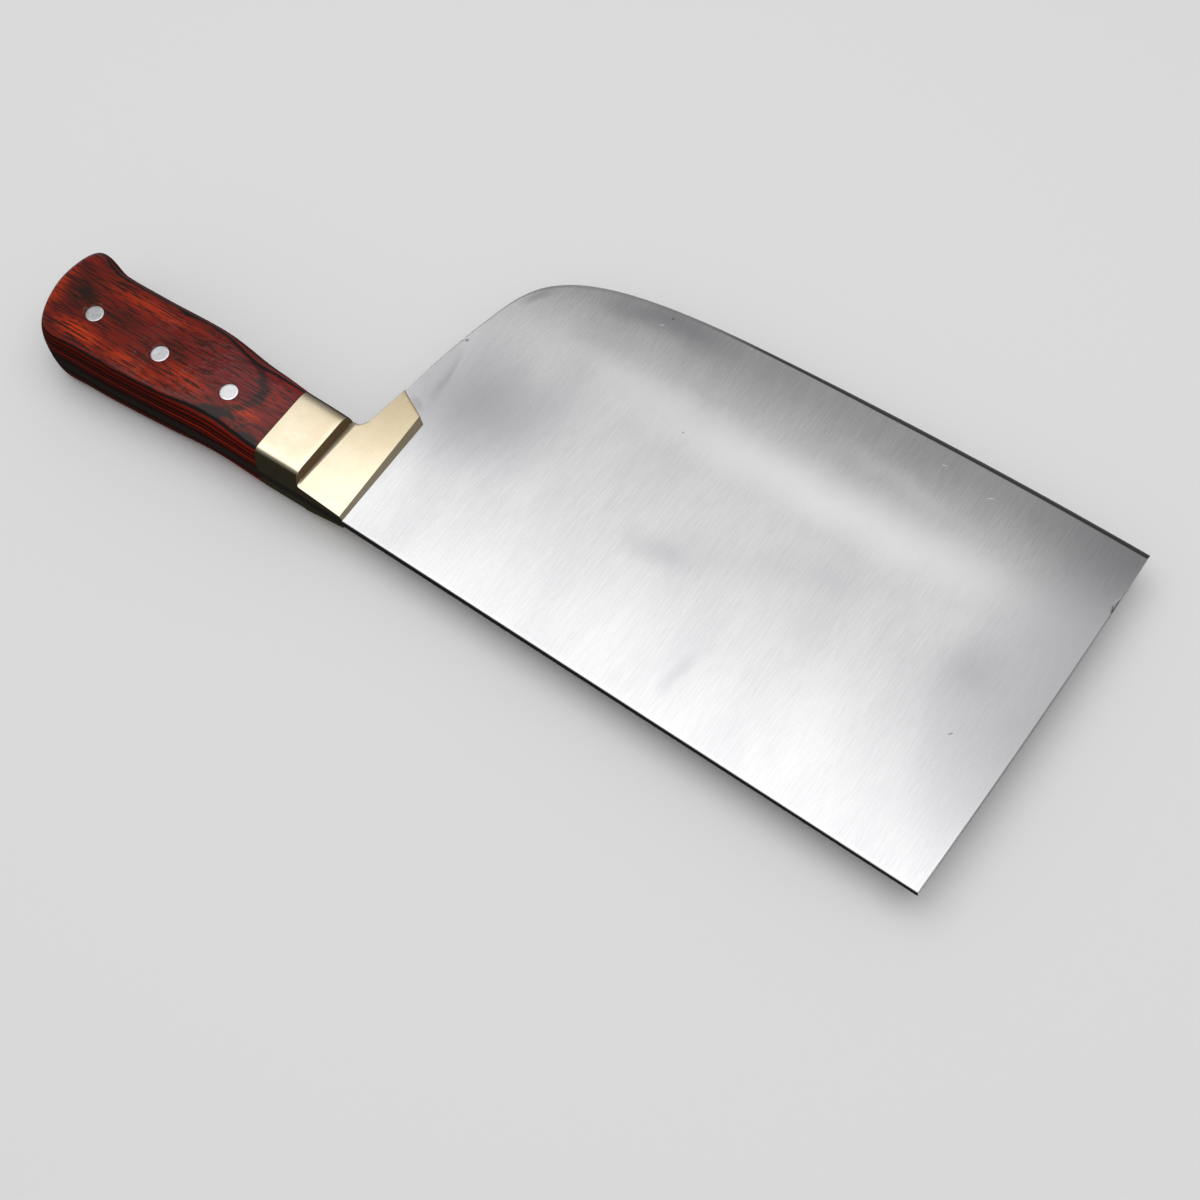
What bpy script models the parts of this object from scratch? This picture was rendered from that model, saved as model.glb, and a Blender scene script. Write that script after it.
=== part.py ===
"""Butcher cleaver with a full tang, a two-piece brass bolster and riveted wooden scales.

Sizes are in metres. The knife lies flat: +X runs from the butt to the tip, +Y from the
spine to the cutting edge and +Z up. Places are measured from the point where the line of
the rivets crosses the joint between wood and brass, at the middle of the steel.
"""

import math

import bmesh
import bpy
import numpy as np

# Clearance between pieces that touch on the real knife
GAP = 0.0003

# Steel: one forging, the blade and its full tang
STEEL_THICKNESS = 0.0036
TIP_SPINE_THICKNESS = 0.0024
THICKNESS_BEHIND_BEVEL = 0.0009
EDGE_THICKNESS = 0.0003
BEVEL_WIDTH = 0.0020
HEEL_BEVEL_WIDTH = 0.0007
BLADE_LENGTH = 0.2020
EDGE_REACH = 0.1063
BELLY_PLACE = 0.1038
EDGE_FALL = 0.0032
SPINE_FALL = 0.0073
TIP_LEAN = 0.0050
TIP_BOW = 0.0006

# Heel of the blade, from the finger notch round to the cutting edge
NOTCH_SETBACK = 0.0002
NOTCH_RADIUS = 0.0031
NOTCH_DIP = 0.0007
HEEL_LEAN = 0.0070
HEEL_BEND_Y = 0.0719
HEEL_SLOPE = 0.204
CORNER_LENGTH = 0.0740
CORNER_PULL_UP = 0.0180
CORNER_PULL_ALONG = 0.0646
PLUNGE_END_Y = 0.0580
PLUNGE_PULL_LOW = (0.0015, 0.0453)
PLUNGE_PULL_HIGH = (0.0041, -0.0200)
PLUNGE_RUN = 0.0024
BEND_LINE_RUN = 0.0192
KEEN_RUN = 0.0060

# Handle: its outline round the butt, and how its edge is rounded over
HANDLE_LENGTH = 0.0984
JOINT_FINGER_REACH = 0.0142
JOINT_SPINE_REACH = 0.0144
FINGER_NECK = (-0.0160, 0.0166)
FINGER_SWELL = (-0.0360, 0.0190)
FINGER_GRIP = (-0.0620, 0.0186)
BEAK_ROOT = (-0.0793, 0.0187)
BEAK = (-0.0950, 0.0211)
BUTT_END_Y = 0.0036
BUTT_CORNER = (-0.0892, -0.0144)
SPINE_SWELL = (-0.0720, -0.0168)
SPINE_GRIP = (-0.0420, -0.0156)
SPINE_NECK = (-0.0180, -0.0144)
JOINT_THICKNESS = 0.0240
GRIP_THICKNESS = 0.0228
BUTT_THICKNESS = 0.0244
CROWN_END = 0.0770
JOINT_SQUARENESS = 5.5
NECK_SQUARENESS = 3.2
GRIP_SQUARENESS = 2.2
JOINT_ROUNDED_SHARE = 1.0
NECK_ROUNDED_SHARE = 0.55
GRIP_ROUNDED_SHARE = 0.25
BUTT_ROUNDED_SHARE = 0.22

# Bolster: a thick collar, a step down and a thin plate that runs out on the blade
COLLAR_LENGTH = 0.0175
COLLAR_HOLLOW = 0.0003
CREST_ROUND = 0.0006
STEP_LEAN = 0.0002
STEP_FILLET_SPINE = 0.0006
STEP_FILLET_FINGER = 0.0032
PLATE_REAR_THICKNESS = 0.0114
PLATE_FRONT_THICKNESS = 0.0064
PLATE_FOOT_THICKNESS = 0.0003
PLATE_LENGTH = 0.0171
BOLSTER_SPINE_REACH = 0.0150
PLATE_NOTCH_SHARE = 0.6
PLATE_HEEL_RUN = 0.0018
PLATE_HEEL_Y = 0.0322
FRONT_CORNER_Y = 0.0258
FRONT_CHAMFER_SPINE = 0.0011
FRONT_CHAMFER_FINGER = 0.0022
PLATE_SQUARENESS = 60.0

# Fasteners
RIVET_DIAMETER = 0.0060
RIVET_PITCH = 0.0281
FRONT_RIVET_PLACE = 0.0198
RIVET_ROW_Y = -0.0010
MIDDLE_RIVET_Y = -0.0015
PIN_DIAMETER = 0.0040
PIN_PLACE = 0.0085
PIN_SPREAD = 0.0140
PIN_ENGAGEMENT = 0.0060

# Fineness of the meshes
WELD_DISTANCE = 0.00001
NUDGE = 0.0003
SHARP_ANGLE = 30.0
SIDE_STEPS = 14
BUTT_STEPS = 18
SIDE_FACETS = 4
TOP_FACETS = 6
TANG_STEPS = 16
BUTT_CROWDING = 1.5
NOTCH_STEPS = 6
HEEL_STEPS = 5
CORNER_STEPS = 14
EDGE_STEPS = 8
FILLET_STEPS = 4
PLATE_HEEL_STEPS = 2
BLADE_ROWS = 8
ROUND_SIDES = 32
CURVE_STEPS = 40

STEEL_HALF = STEEL_THICKNESS / 2
SEAT = STEEL_HALF + GAP
BOLSTER_LENGTH = COLLAR_LENGTH + PLATE_LENGTH
TIP_X = BOLSTER_LENGTH + BLADE_LENGTH
COLLAR_SIDE = JOINT_FINGER_REACH - NOTCH_DIP
NOTCH_START = COLLAR_LENGTH + NOTCH_SETBACK
HEEL_FOOT = NOTCH_START + NOTCH_RADIUS
PLATE_HEEL = (HEEL_FOOT + PLATE_HEEL_RUN, PLATE_HEEL_Y)
HEEL_BEND = (HEEL_FOOT + HEEL_LEAN, HEEL_BEND_Y)
BEND_LINE_SPINE_X = HEEL_BEND[0] + BEND_LINE_RUN
CORNER_END = HEEL_BEND[0] + CORNER_LENGTH
RIVETS = (
    ("rivet_front", RIVET_ROW_Y),
    ("rivet_middle", MIDDLE_RIVET_Y),
    ("rivet_rear", RIVET_ROW_Y),
)
PINS = (
    ("bolster_pin_finger_side", PIN_SPREAD / 2),
    ("bolster_pin_spine_side", -PIN_SPREAD / 2),
)


def clear_scene():
    for existing in list(bpy.data.objects):
        bpy.data.objects.remove(existing, do_unlink=True)


def make_material(name, colour, roughness, metallic):
    material = bpy.data.materials.new(name)
    material.use_nodes = True
    shader = material.node_tree.nodes["Principled BSDF"]
    shader.inputs["Base Color"].default_value = (*colour, 1.0)
    shader.inputs["Roughness"].default_value = roughness
    shader.inputs["Metallic"].default_value = metallic
    return material


def add_piece(name, bm, material, parent):
    """Orients and smooths a closed mesh, and links it as a named object."""
    bmesh.ops.remove_doubles(bm, verts=bm.verts, dist=WELD_DISTANCE)
    bmesh.ops.recalc_face_normals(bm, faces=bm.faces)
    mesh = bpy.data.meshes.new(name)
    bm.to_mesh(mesh)
    bm.free()
    mesh.shade_smooth()
    mesh.set_sharp_from_angle(angle=math.radians(SHARP_ANGLE))
    mesh.materials.append(material)
    piece = bpy.data.objects.new(name, mesh)
    piece.parent = parent
    bpy.context.scene.collection.objects.link(piece)
    return piece


def blend(start, end, share):
    return start + (end - start) * share


def bezier(start, start_pull, end_pull, end, steps):
    """Points of a cubic Bezier curve whose handles are pulled away from its two ends."""
    start, end = np.array(start), np.array(end)
    share = np.linspace(0.0, 1.0, steps + 1)[:, None]
    near = (1 - share) ** 3 * start + 3 * share * (1 - share) ** 2 * (start + start_pull)
    far = 3 * share**2 * (1 - share) * (end + end_pull) + share**3 * end
    return near + far


def smooth_through(points, steps):
    """A Catmull-Rom curve through the points, with some steps from each to the next."""
    points = np.array(points)
    padded = np.vstack((2 * points[0] - points[1], points, 2 * points[-1] - points[-2]))
    share = np.linspace(0.0, 1.0, steps, endpoint=False)[:, None]
    stretches = []
    for before, start, end, after in zip(padded, padded[1:], padded[2:], padded[3:]):
        leaving = (end - before) / 2
        arriving = (after - start) / 2
        bend = 3 * (end - start) - 2 * leaving - arriving
        twist = leaving + arriving - 2 * (end - start)
        stretches.append(start + leaving * share + bend * share**2 + twist * share**3)
    return np.vstack((*stretches, points[-1:]))


def along(curve, shares):
    """The curve's points at the given shares of its length, with what they carry."""
    steps = np.hypot(*np.diff(curve[:, :2], axis=0).T)
    length = np.concatenate(([0.0], np.cumsum(steps)))
    wanted = np.array(shares) * length[-1]
    return np.column_stack([np.interp(wanted, length, values) for values in curve.T])


def at_x(curve, places):
    """The points of a curve with rising x that lie at the given x."""
    return np.column_stack([np.interp(places, curve[:, 0], values) for values in curve.T])


def handle_sides():
    """Outline of wood and tang as two curves from the butt's end to the joint, on the
    finger side and on the spine side. Each point is x, y, the squareness of the edge's
    rounding and how much of the way to the crown it takes."""
    joint = (JOINT_SQUARENESS, JOINT_ROUNDED_SHARE)
    neck = (NECK_SQUARENESS, NECK_ROUNDED_SHARE)
    grip = (GRIP_SQUARENESS, GRIP_ROUNDED_SHARE)
    butt = (GRIP_SQUARENESS, BUTT_ROUNDED_SHARE)
    outline = smooth_through(
        [
            (0.0, JOINT_FINGER_REACH, *joint),
            (*FINGER_NECK, *neck),
            (*FINGER_SWELL, *grip),
            (*FINGER_GRIP, *grip),
            (*BEAK_ROOT, *butt),
            (*BEAK, *butt),
            (-HANDLE_LENGTH, BUTT_END_Y, *butt),
            (*BUTT_CORNER, *butt),
            (*SPINE_SWELL, *grip),
            (*SPINE_GRIP, *grip),
            (*SPINE_NECK, *neck),
            (0.0, -JOINT_SPINE_REACH, *joint),
        ],
        CURVE_STEPS,
    )
    end = np.argmin(outline[:, 0])
    return outline[end::-1], outline[end:]


def handle_half_thickness(x):
    """Half the thickness of the handle on the line of the rivets."""
    places = (-HANDLE_LENGTH, -HANDLE_LENGTH / 2, 0.0)
    return np.interp(x, places, (BUTT_THICKNESS, GRIP_THICKNESS, JOINT_THICKNESS)) / 2


def section_quarter(squareness, lowest):
    """A quarter of a superellipse, from the height lowest on its side by its corner up to
    its top, as shares of its width and of its height."""
    side = (1 - lowest**squareness) ** (1 / squareness)
    rising = np.linspace(math.atan2(lowest, side), math.pi / 4, SIDE_FACETS + 1)
    angles = np.concatenate((rising, np.linspace(math.pi / 4, math.pi / 2, TOP_FACETS + 1)[1:]))
    across, up = np.abs(np.cos(angles)), np.sin(angles)
    reach = (across**squareness + up**squareness) ** (-1 / squareness)
    across, up = across * reach, up * reach
    across[-1] = 0.0
    return across, up


def skin(bm, columns):
    """Quads between columns of vertices that have the same number of points."""
    for column, following in zip(columns, columns[1:]):
        for low in range(len(column) - 1):
            bm.faces.new((column[low], following[low], following[low + 1], column[low + 1]))


def build_scale(name, side, material, parent):
    """One half of the wooden grip. Each point of the outline carries a rounded edge and
    then a flat face up to the crown, which is a line along the grip."""
    finger, spine = handle_sides()
    places = np.linspace(-GAP / 2, -CROWN_END, SIDE_STEPS + 1)
    finger_side, spine_side = at_x(finger, places), at_x(spine, places)
    butt = [curve[curve[:, 0] < -CROWN_END] for curve in (finger, spine)]
    butt = np.vstack((finger_side[-1:], butt[0][::-1], butt[1], spine_side[-1:]))
    butt = along(butt, np.linspace(0.0, 1.0, BUTT_STEPS + 1))
    bm = bmesh.new()
    columns = []
    for x, y, squareness, rounded in np.vstack((finger_side, butt[1:-1], spine_side[::-1])):
        crown = max(x, -CROWN_END)
        half = handle_half_thickness(crown)
        across, up = section_quarter(squareness, SEAT / half)
        across = 1 - rounded * (1 - across)
        points = list(zip(crown + (x - crown) * across, y * across, side * half * up))
        points.append((crown, 0.0, side * half))
        columns.append([bm.verts.new(point) for point in points])
    skin(bm, columns)
    bm.faces.new([column[0] for column in columns])
    bm.faces.new(columns[0] + columns[-1][-2::-1])
    return add_piece(name, bm, material, parent)


def spine_points(places):
    """The steel's spine side: along the bolster and then the whole blade."""
    corners = (0.0, BOLSTER_LENGTH, TIP_X)
    proud = BOLSTER_SPINE_REACH + GAP
    reach = np.interp(places, corners, (JOINT_SPINE_REACH, proud, proud + SPINE_FALL))
    return np.column_stack((places, -reach))


def cutting_edge(places):
    """The cutting edge: a parabola that reaches furthest at the belly."""
    belly = BOLSTER_LENGTH + BELLY_PLACE
    fall = EDGE_FALL * ((places - belly) / (TIP_X + TIP_LEAN - belly)) ** 2
    return np.column_stack((places, EDGE_REACH - fall))


def notch_arc(steps):
    """The finger notch's round corner, from the collar's side to the foot of the heel."""
    turn = np.linspace(-math.pi / 2, 0.0, steps + 1)
    centre = (NOTCH_START, COLLAR_SIDE + NOTCH_RADIUS)
    return centre + NOTCH_RADIUS * np.column_stack((np.cos(turn), np.sin(turn)))


def heel_line():
    """From the notch up to where the heel starts to turn into the cutting edge."""
    foot = notch_arc(1)[-1]
    pull = (HEEL_BEND_Y - foot[1]) / 3
    return bezier(foot, (0.0, pull), (-HEEL_SLOPE * pull, -pull), HEEL_BEND, CURVE_STEPS)


def heel_points(heights):
    """The points of the heel line at the given distances from the handle's line."""
    line = heel_line()
    return np.column_stack((np.interp(heights, line[:, 1], line[:, 0]), heights))


def heel_corner(steps):
    """The big round corner between the heel and the cutting edge."""
    end, after = cutting_edge(np.array([CORNER_END, CORNER_END + NUDGE]))
    back = (end - after) / (after[0] - end[0]) * CORNER_PULL_ALONG
    up = (HEEL_SLOPE * CORNER_PULL_UP, CORNER_PULL_UP)
    return bezier(HEEL_BEND, up, back, end, steps)


def plunge_ends():
    """Where the grind ends: its points on the spine and on the heel."""
    low = spine_points(np.array([BOLSTER_LENGTH + GAP]))[0]
    return low, heel_points(np.array([PLUNGE_END_Y]))[0]


def plunge_bow(shares):
    """How far the end of the grind bows forward of a straight line across the blade, at
    shares of the way from the spine to the heel."""
    low, high = plunge_ends()
    curve = bezier(low, PLUNGE_PULL_LOW, PLUNGE_PULL_HIGH, high, CURVE_STEPS)
    heights = blend(low[1], high[1], shares)
    return np.interp(heights, curve[:, 1], curve[:, 0]) - blend(low[0], high[0], shares)


def ground_half_thickness(x, y):
    """Half the blade's thickness: a wedge from the spine to the edge's bevel, which also
    gets thinner from the bolster to the tip."""
    corners = (BOLSTER_LENGTH, TIP_X)
    spine_half = np.interp(x, corners, (STEEL_THICKNESS, TIP_SPINE_THICKNESS)) / 2
    spine = spine_points(x)[:, 1]
    bevel = cutting_edge(x)[:, 1] - BEVEL_WIDTH
    share = np.clip((y - spine) / (bevel - spine), 0.0, 1.0)
    return blend(spine_half, THICKNESS_BEHIND_BEVEL / 2, share)


def spread(start, end, count):
    """Evenly spaced values after start, up to end."""
    return np.linspace(start, end, count + 1)[1:]


def steel_lines():
    """Lines across the steel from the butt to the tip, as spine points and edge points."""
    finger, spine = handle_sides()
    shares = spread(0.0, 1.0, TANG_STEPS) ** BUTT_CROWDING
    plate_heel = PLATE_HEEL[0]
    plunge = plunge_ends()[0][0]
    foot = plunge + PLUNGE_RUN
    plunge_foot_y = PLUNGE_END_Y + PLUNGE_RUN
    below_plunge = heel_points(spread(notch_arc(1)[-1, 1], PLUNGE_END_Y, HEEL_STEPS))
    above_plunge = heel_points(spread(plunge_foot_y, HEEL_BEND_Y, HEEL_STEPS))
    stretches = (
        (notch_arc(NOTCH_STEPS), 0.0, plate_heel),
        (below_plunge, plate_heel, plunge),
        (heel_points(np.array([plunge_foot_y])), plunge, foot),
        (above_plunge, foot, BEND_LINE_SPINE_X),
        (heel_corner(CORNER_STEPS)[1:], BEND_LINE_SPINE_X, CORNER_END),
        (cutting_edge(spread(CORNER_END, TIP_X + TIP_LEAN, EDGE_STEPS)), CORNER_END, TIP_X),
    )
    high = [along(finger, shares)[:, :2], *(points for points, _, _ in stretches)]
    low = [along(spine, shares)[:, :2]]
    for points, start, end in stretches:
        low.append(spine_points(spread(start, end, len(points))))
    return np.vstack(low), np.vstack(high)


def steel_section(low, high):
    """Points across the steel on one of its lines, from the spine to the edge: x, y and
    half the thickness. Only what lies ahead of the plunge is ground."""
    plunge = plunge_ends()[0][0]
    bow = np.interp(low[0], (COLLAR_LENGTH, plunge, plunge + PLUNGE_RUN, CORNER_END), (0, 1, 1, 0))
    keenness = np.interp(high[0], (HEEL_BEND[0], HEEL_BEND[0] + KEEN_RUN), (0.0, 1.0))
    bevel = np.interp(high[0], (HEEL_BEND[0], CORNER_END), (HEEL_BEVEL_WIDTH, BEVEL_WIDTH))
    inner = np.linspace(0.0, 1.0 - bevel / math.dist(low, high), BLADE_ROWS)
    shares = np.concatenate((inner, [1.0]))
    points = blend(low, high, shares[:, None])
    points[:, 0] += bow * plunge_bow(shares)
    if low[0] > TIP_X - NUDGE:
        points[:, 0] += TIP_BOW * np.sin(math.pi * shares)
    half = np.full(len(points), STEEL_HALF)
    if low[0] > plunge + NUDGE:
        half = ground_half_thickness(points[:, 0], points[:, 1])
        half[-1] = blend(half[-1], EDGE_THICKNESS / 2, keenness)
    return np.column_stack((points, half))


def build_blade(material, parent):
    """The forging: a skin over the sections across it, the same above and below."""
    bm = bmesh.new()
    above, below = [], []
    for low, high in zip(*steel_lines()):
        section = steel_section(low, high)
        above.append([bm.verts.new((x, y, z)) for x, y, z in section])
        below.append([bm.verts.new((x, y, -z)) for x, y, z in section])
    skin(bm, above)
    skin(bm, below)
    for row in (0, -1):
        skin(bm, [(top[row], bottom[row]) for top, bottom in zip(above, below)])
    for end in (0, -1):
        skin(bm, list(zip(above[end], below[end])))
    return add_piece("blade", bm, material, parent)


def bolster_spine(places):
    """The bolster's spine side, in line with the handle and the blade."""
    reach = np.interp(places, (0.0, BOLSTER_LENGTH), (JOINT_SPINE_REACH, BOLSTER_SPINE_REACH))
    return np.column_stack((places, -reach))


def plate_half(x):
    """Half the thickness of the bolster's plate, which thins towards the blade."""
    ends = (COLLAR_LENGTH, BOLSTER_LENGTH)
    return np.interp(x, ends, (PLATE_REAR_THICKNESS, PLATE_FRONT_THICKNESS)) / 2


def collar_stations():
    """The collar, flush with the wood, up to the crest of the step."""
    half = JOINT_THICKNESS / 2
    stations = []
    for x, y, height in (
        (GAP / 2, JOINT_FINGER_REACH, half),
        (PIN_PLACE, JOINT_FINGER_REACH - COLLAR_HOLLOW, half),
        (COLLAR_LENGTH - CREST_ROUND, COLLAR_SIDE, half),
        (COLLAR_LENGTH, COLLAR_SIDE, half - CREST_ROUND),
    ):
        stations.append((bolster_spine([x])[0], height, (x, y), height, JOINT_SQUARENESS))
    return stations


def step_stations():
    """The step's steep face and the fillet at its foot, wider on the finger side."""
    notch = np.vstack(((COLLAR_LENGTH, COLLAR_SIDE), notch_arc(CURVE_STEPS)))
    stations = []
    for turn in np.linspace(0.0, math.pi / 2, FILLET_STEPS + 1):
        run, rise = 1 - math.cos(turn), 1 - math.sin(turn)
        low = bolster_spine([COLLAR_LENGTH + STEP_LEAN + STEP_FILLET_SPINE * run])[0]
        high = at_x(notch, [COLLAR_LENGTH + STEP_LEAN + STEP_FILLET_FINGER * run])[0]
        low_half = plate_half(low[0]) + STEP_FILLET_SPINE * rise
        high_half = plate_half(high[0]) + STEP_FILLET_FINGER * rise
        stations.append((low, low_half, high, high_half, PLATE_SQUARENESS))
    return stations


def plate_stations():
    """The plate: up the heel, along the cut-off shoulder, then down to its front foot."""
    heel_x = PLATE_HEEL[0]
    notch_x = blend(COLLAR_LENGTH, heel_x, PLATE_NOTCH_SHARE)
    top_edge = BOLSTER_LENGTH - FRONT_CHAMFER_FINGER
    stations = []
    for low_x, high in (
        *zip(
            np.linspace(notch_x, heel_x, PLATE_HEEL_STEPS + 1),
            np.linspace(notch_arc(1)[-1], PLATE_HEEL, PLATE_HEEL_STEPS + 1),
        ),
        (BOLSTER_LENGTH - FRONT_CHAMFER_SPINE, (top_edge, shoulder_y(top_edge))),
    ):
        low = bolster_spine([low_x])[0]
        stations.append((low, plate_half(low_x), high, plate_half(high[0]), PLATE_SQUARENESS))
    foot_half = SEAT + PLATE_FOOT_THICKNESS
    foot = (BOLSTER_LENGTH, shoulder_y(BOLSTER_LENGTH))
    stations.append((bolster_spine([foot[0]])[0], foot_half, foot, foot_half, PLATE_SQUARENESS))
    return stations


def shoulder_y(x):
    """The slanted end of the plate, from the heel to the front corner."""
    return np.interp(x, (PLATE_HEEL[0], BOLSTER_LENGTH), (PLATE_HEEL[1], FRONT_CORNER_Y))


def build_bolster_half(name, side, material, parent):
    """Half of the bolster, skinned over superellipse sections across it."""
    bm = bmesh.new()
    columns = []
    for low, low_half, high, high_half, squareness in (
        *collar_stations(),
        *step_stations(),
        *plate_stations(),
    ):
        ends = [section_quarter(squareness, SEAT / half) for half in (low_half, high_half)]
        across = np.concatenate((-ends[0][0], ends[1][0][-2::-1]))
        up = np.concatenate((ends[0][1], ends[1][1][-2::-1]))
        share = (across - across[0]) / (across[-1] - across[0])
        points = blend(np.array(low), np.array(high), share[:, None])
        heights = side * up * blend(low_half, high_half, share)
        columns.append([bm.verts.new((x, y, z)) for (x, y), z in zip(points, heights)])
    skin(bm, columns)
    bm.faces.new([column[0] for column in columns] + [column[-1] for column in columns[::-1]])
    bm.faces.new(columns[0])
    bm.faces.new(columns[-1])
    return add_piece(name, bm, material, parent)


def add_cylinder(name, radius, length, place, material, parent):
    """An upright cylinder, as long above the steel's middle as below it."""
    bm = bmesh.new()
    bmesh.ops.create_cone(
        bm, cap_ends=True, segments=ROUND_SIDES, radius1=radius, radius2=radius, depth=length
    )
    cylinder = add_piece(name, bm, material, parent)
    cylinder.location = (*place, 0.0)
    return cylinder


def drill(targets, radius, length, place, parent):
    """Cuts an upright round hole through, or into, each of the targets."""
    cutter = add_cylinder("hole_cutter", radius, length, place, None, parent)
    cutter.hide_render = True
    cutter.display_type = "WIRE"
    for target in targets:
        hole = target.modifiers.new("hole", "BOOLEAN")
        hole.operation = "DIFFERENCE"
        hole.solver = "EXACT"
        hole.object = cutter


def add_rivets(held, material, parent):
    """Solid rivets through the scales and the tang, ground flush with the wood."""
    for index, (name, y) in enumerate(RIVETS):
        place = (-FRONT_RIVET_PLACE - RIVET_PITCH * index, y)
        length = 2 * handle_half_thickness(place[0])
        add_cylinder(name, RIVET_DIAMETER / 2, length, place, material, parent)
        drill(held, RIVET_DIAMETER / 2 + GAP, 2 * length, place, parent)


def add_bolster_pins(held, material, parent):
    """Blind pins that hold the bolster's halves on the tang and don't show outside."""
    length = 2 * (SEAT + PIN_ENGAGEMENT)
    for name, y in PINS:
        place = (PIN_PLACE, y)
        add_cylinder(name, PIN_DIAMETER / 2, length, place, material, parent)
        drill(held, PIN_DIAMETER / 2 + GAP, length + 2 * GAP, place, parent)


def stand_on_origin(root):
    """Moves the knife so that the middle of its box's underside is at the origin."""
    corners = []
    for piece in root.children:
        if not piece.hide_render:
            corners.extend(np.array(corner) + np.array(piece.location) for corner in piece.bound_box)
    low, high = np.min(corners, axis=0), np.max(corners, axis=0)
    root.location = (-(low[0] + high[0]) / 2, -(low[1] + high[1]) / 2, -low[2])


def main():
    clear_scene()
    root = bpy.data.objects.new("cleaver", None)
    bpy.context.scene.collection.objects.link(root)
    steel = make_material("brushed_steel", (0.62, 0.62, 0.63), 0.30, 1.0)
    brass = make_material("satin_brass", (0.79, 0.66, 0.40), 0.28, 1.0)
    wood = make_material("red_laminated_wood", (0.28, 0.045, 0.02), 0.22, 0.0)
    rivet_metal = make_material("rivet_metal", (0.74, 0.75, 0.77), 0.38, 1.0)

    blade = build_blade(steel, root)
    bolster_halves = [
        build_bolster_half("bolster_upper", 1, brass, root),
        build_bolster_half("bolster_lower", -1, brass, root),
    ]
    scales = [
        build_scale("scale_upper", 1, wood, root),
        build_scale("scale_lower", -1, wood, root),
    ]
    add_rivets([blade, *scales], rivet_metal, root)
    add_bolster_pins([blade, *bolster_halves], brass, root)
    stand_on_origin(root)


main()
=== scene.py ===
# %% [markdown]
# # A butcher cleaver, dressed for its portrait
# The CAD model gives each part its true size and place. This lesson loads it as a fixed
# frame, builds finer surfaces over it and gives them steel, brass, wood and rivet metal.

# %% The frame from the CAD model
import math

import bmesh
import bpy
import numpy as np
from mathutils import Matrix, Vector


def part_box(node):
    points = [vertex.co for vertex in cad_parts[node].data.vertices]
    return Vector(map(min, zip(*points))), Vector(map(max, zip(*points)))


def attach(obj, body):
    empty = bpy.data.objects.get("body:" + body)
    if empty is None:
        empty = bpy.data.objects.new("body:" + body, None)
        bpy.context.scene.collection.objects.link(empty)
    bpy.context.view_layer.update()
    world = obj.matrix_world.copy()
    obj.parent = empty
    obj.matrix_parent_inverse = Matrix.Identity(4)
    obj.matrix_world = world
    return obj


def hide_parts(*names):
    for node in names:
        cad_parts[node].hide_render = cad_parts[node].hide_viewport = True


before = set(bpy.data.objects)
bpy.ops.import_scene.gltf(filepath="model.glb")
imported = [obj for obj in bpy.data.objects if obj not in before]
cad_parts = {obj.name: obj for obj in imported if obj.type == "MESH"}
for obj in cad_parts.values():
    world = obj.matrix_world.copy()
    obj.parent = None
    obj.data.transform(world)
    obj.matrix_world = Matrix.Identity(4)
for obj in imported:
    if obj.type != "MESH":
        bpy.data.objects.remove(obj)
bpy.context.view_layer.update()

# %% [markdown]
# ## One set of coordinates
# A cutler measures from the handle: x along the knife from the joint between wood and
# brass, y from the line of the rivets towards the cutting edge, z up from the middle of
# the steel, all in millimetres. The front rivet is known in both systems, so its box in
# the CAD model says how far apart they are.

# %% Knife coordinates
MM = 0.001
FRONT_RIVET = (-19.8, -1.0)
rivet_box = np.array(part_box("rivet_front"))
ORIGIN = rivet_box.mean(axis=0) / MM - (*FRONT_RIVET, 0.0)
print("knife origin in the frame, mm:", ORIGIN.round(3))

# %% [markdown]
# ## From rings of points to a mesh
# Every piece here is a stack of rings, like the hoops of a barrel. The rings come as one
# array: which ring, which point on it, and x, y, z. Quads join each ring to the next, and
# an open end is closed with one flat face. Rings that shrink to a point or a line are
# welded, so that no seam or pole stays open.

# %% Skinning the rings
WELD = 1e-6
CREASE = math.radians(30)


def skin(name, rings, close_first=False, close_last=False, crease=CREASE):
    """Closed surface over rings of points: face (i, j) joins points j and j + 1 of ring i
    to the same points of ring i + 1. Edges that turn more than the crease stay sharp."""
    rings = np.asarray(rings, dtype=float)
    index = np.arange(rings.shape[0] * rings.shape[1]).reshape(rings.shape[:2])
    ahead = np.roll(index, -1, axis=1)
    quads = np.stack((index[:-1], ahead[:-1], ahead[1:], index[1:]), axis=-1)
    faces = quads.reshape(-1, 4).tolist()
    if close_first:
        faces.append(index[0][::-1].tolist())
    if close_last:
        faces.append(index[-1].tolist())
    mesh = bpy.data.meshes.new(name)
    mesh.from_pydata(((rings + ORIGIN) * MM).reshape(-1, 3), [], faces)
    weld = bmesh.new()
    weld.from_mesh(mesh)
    bmesh.ops.remove_doubles(weld, verts=weld.verts, dist=WELD)
    bmesh.ops.recalc_face_normals(weld, faces=weld.faces)
    weld.to_mesh(mesh)
    weld.free()
    mesh.shade_smooth()
    mesh.set_sharp_from_angle(angle=crease)
    piece = bpy.data.objects.new(name, mesh)
    bpy.context.scene.collection.objects.link(piece)
    print(f"{name}: {len(mesh.polygons)} faces")
    return piece


# %% [markdown]
# ## Curves
# Two kinds of curve do most of the drawing: one that runs through chosen points, for the
# handle, and pulled curves, for the heel and its big round corner.

# %% Curves through and between points
def blend(start, end, share):
    """The start where share is 0, the end where it is 1 and even between."""
    return start + (end - start) * share


def ease(value):
    """0 below 0, 1 above 1 and an S-curve between, 3 t^2 - 2 t^3."""
    value = np.clip(value, 0.0, 1.0)
    return value * value * (3 - 2 * value)


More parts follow.
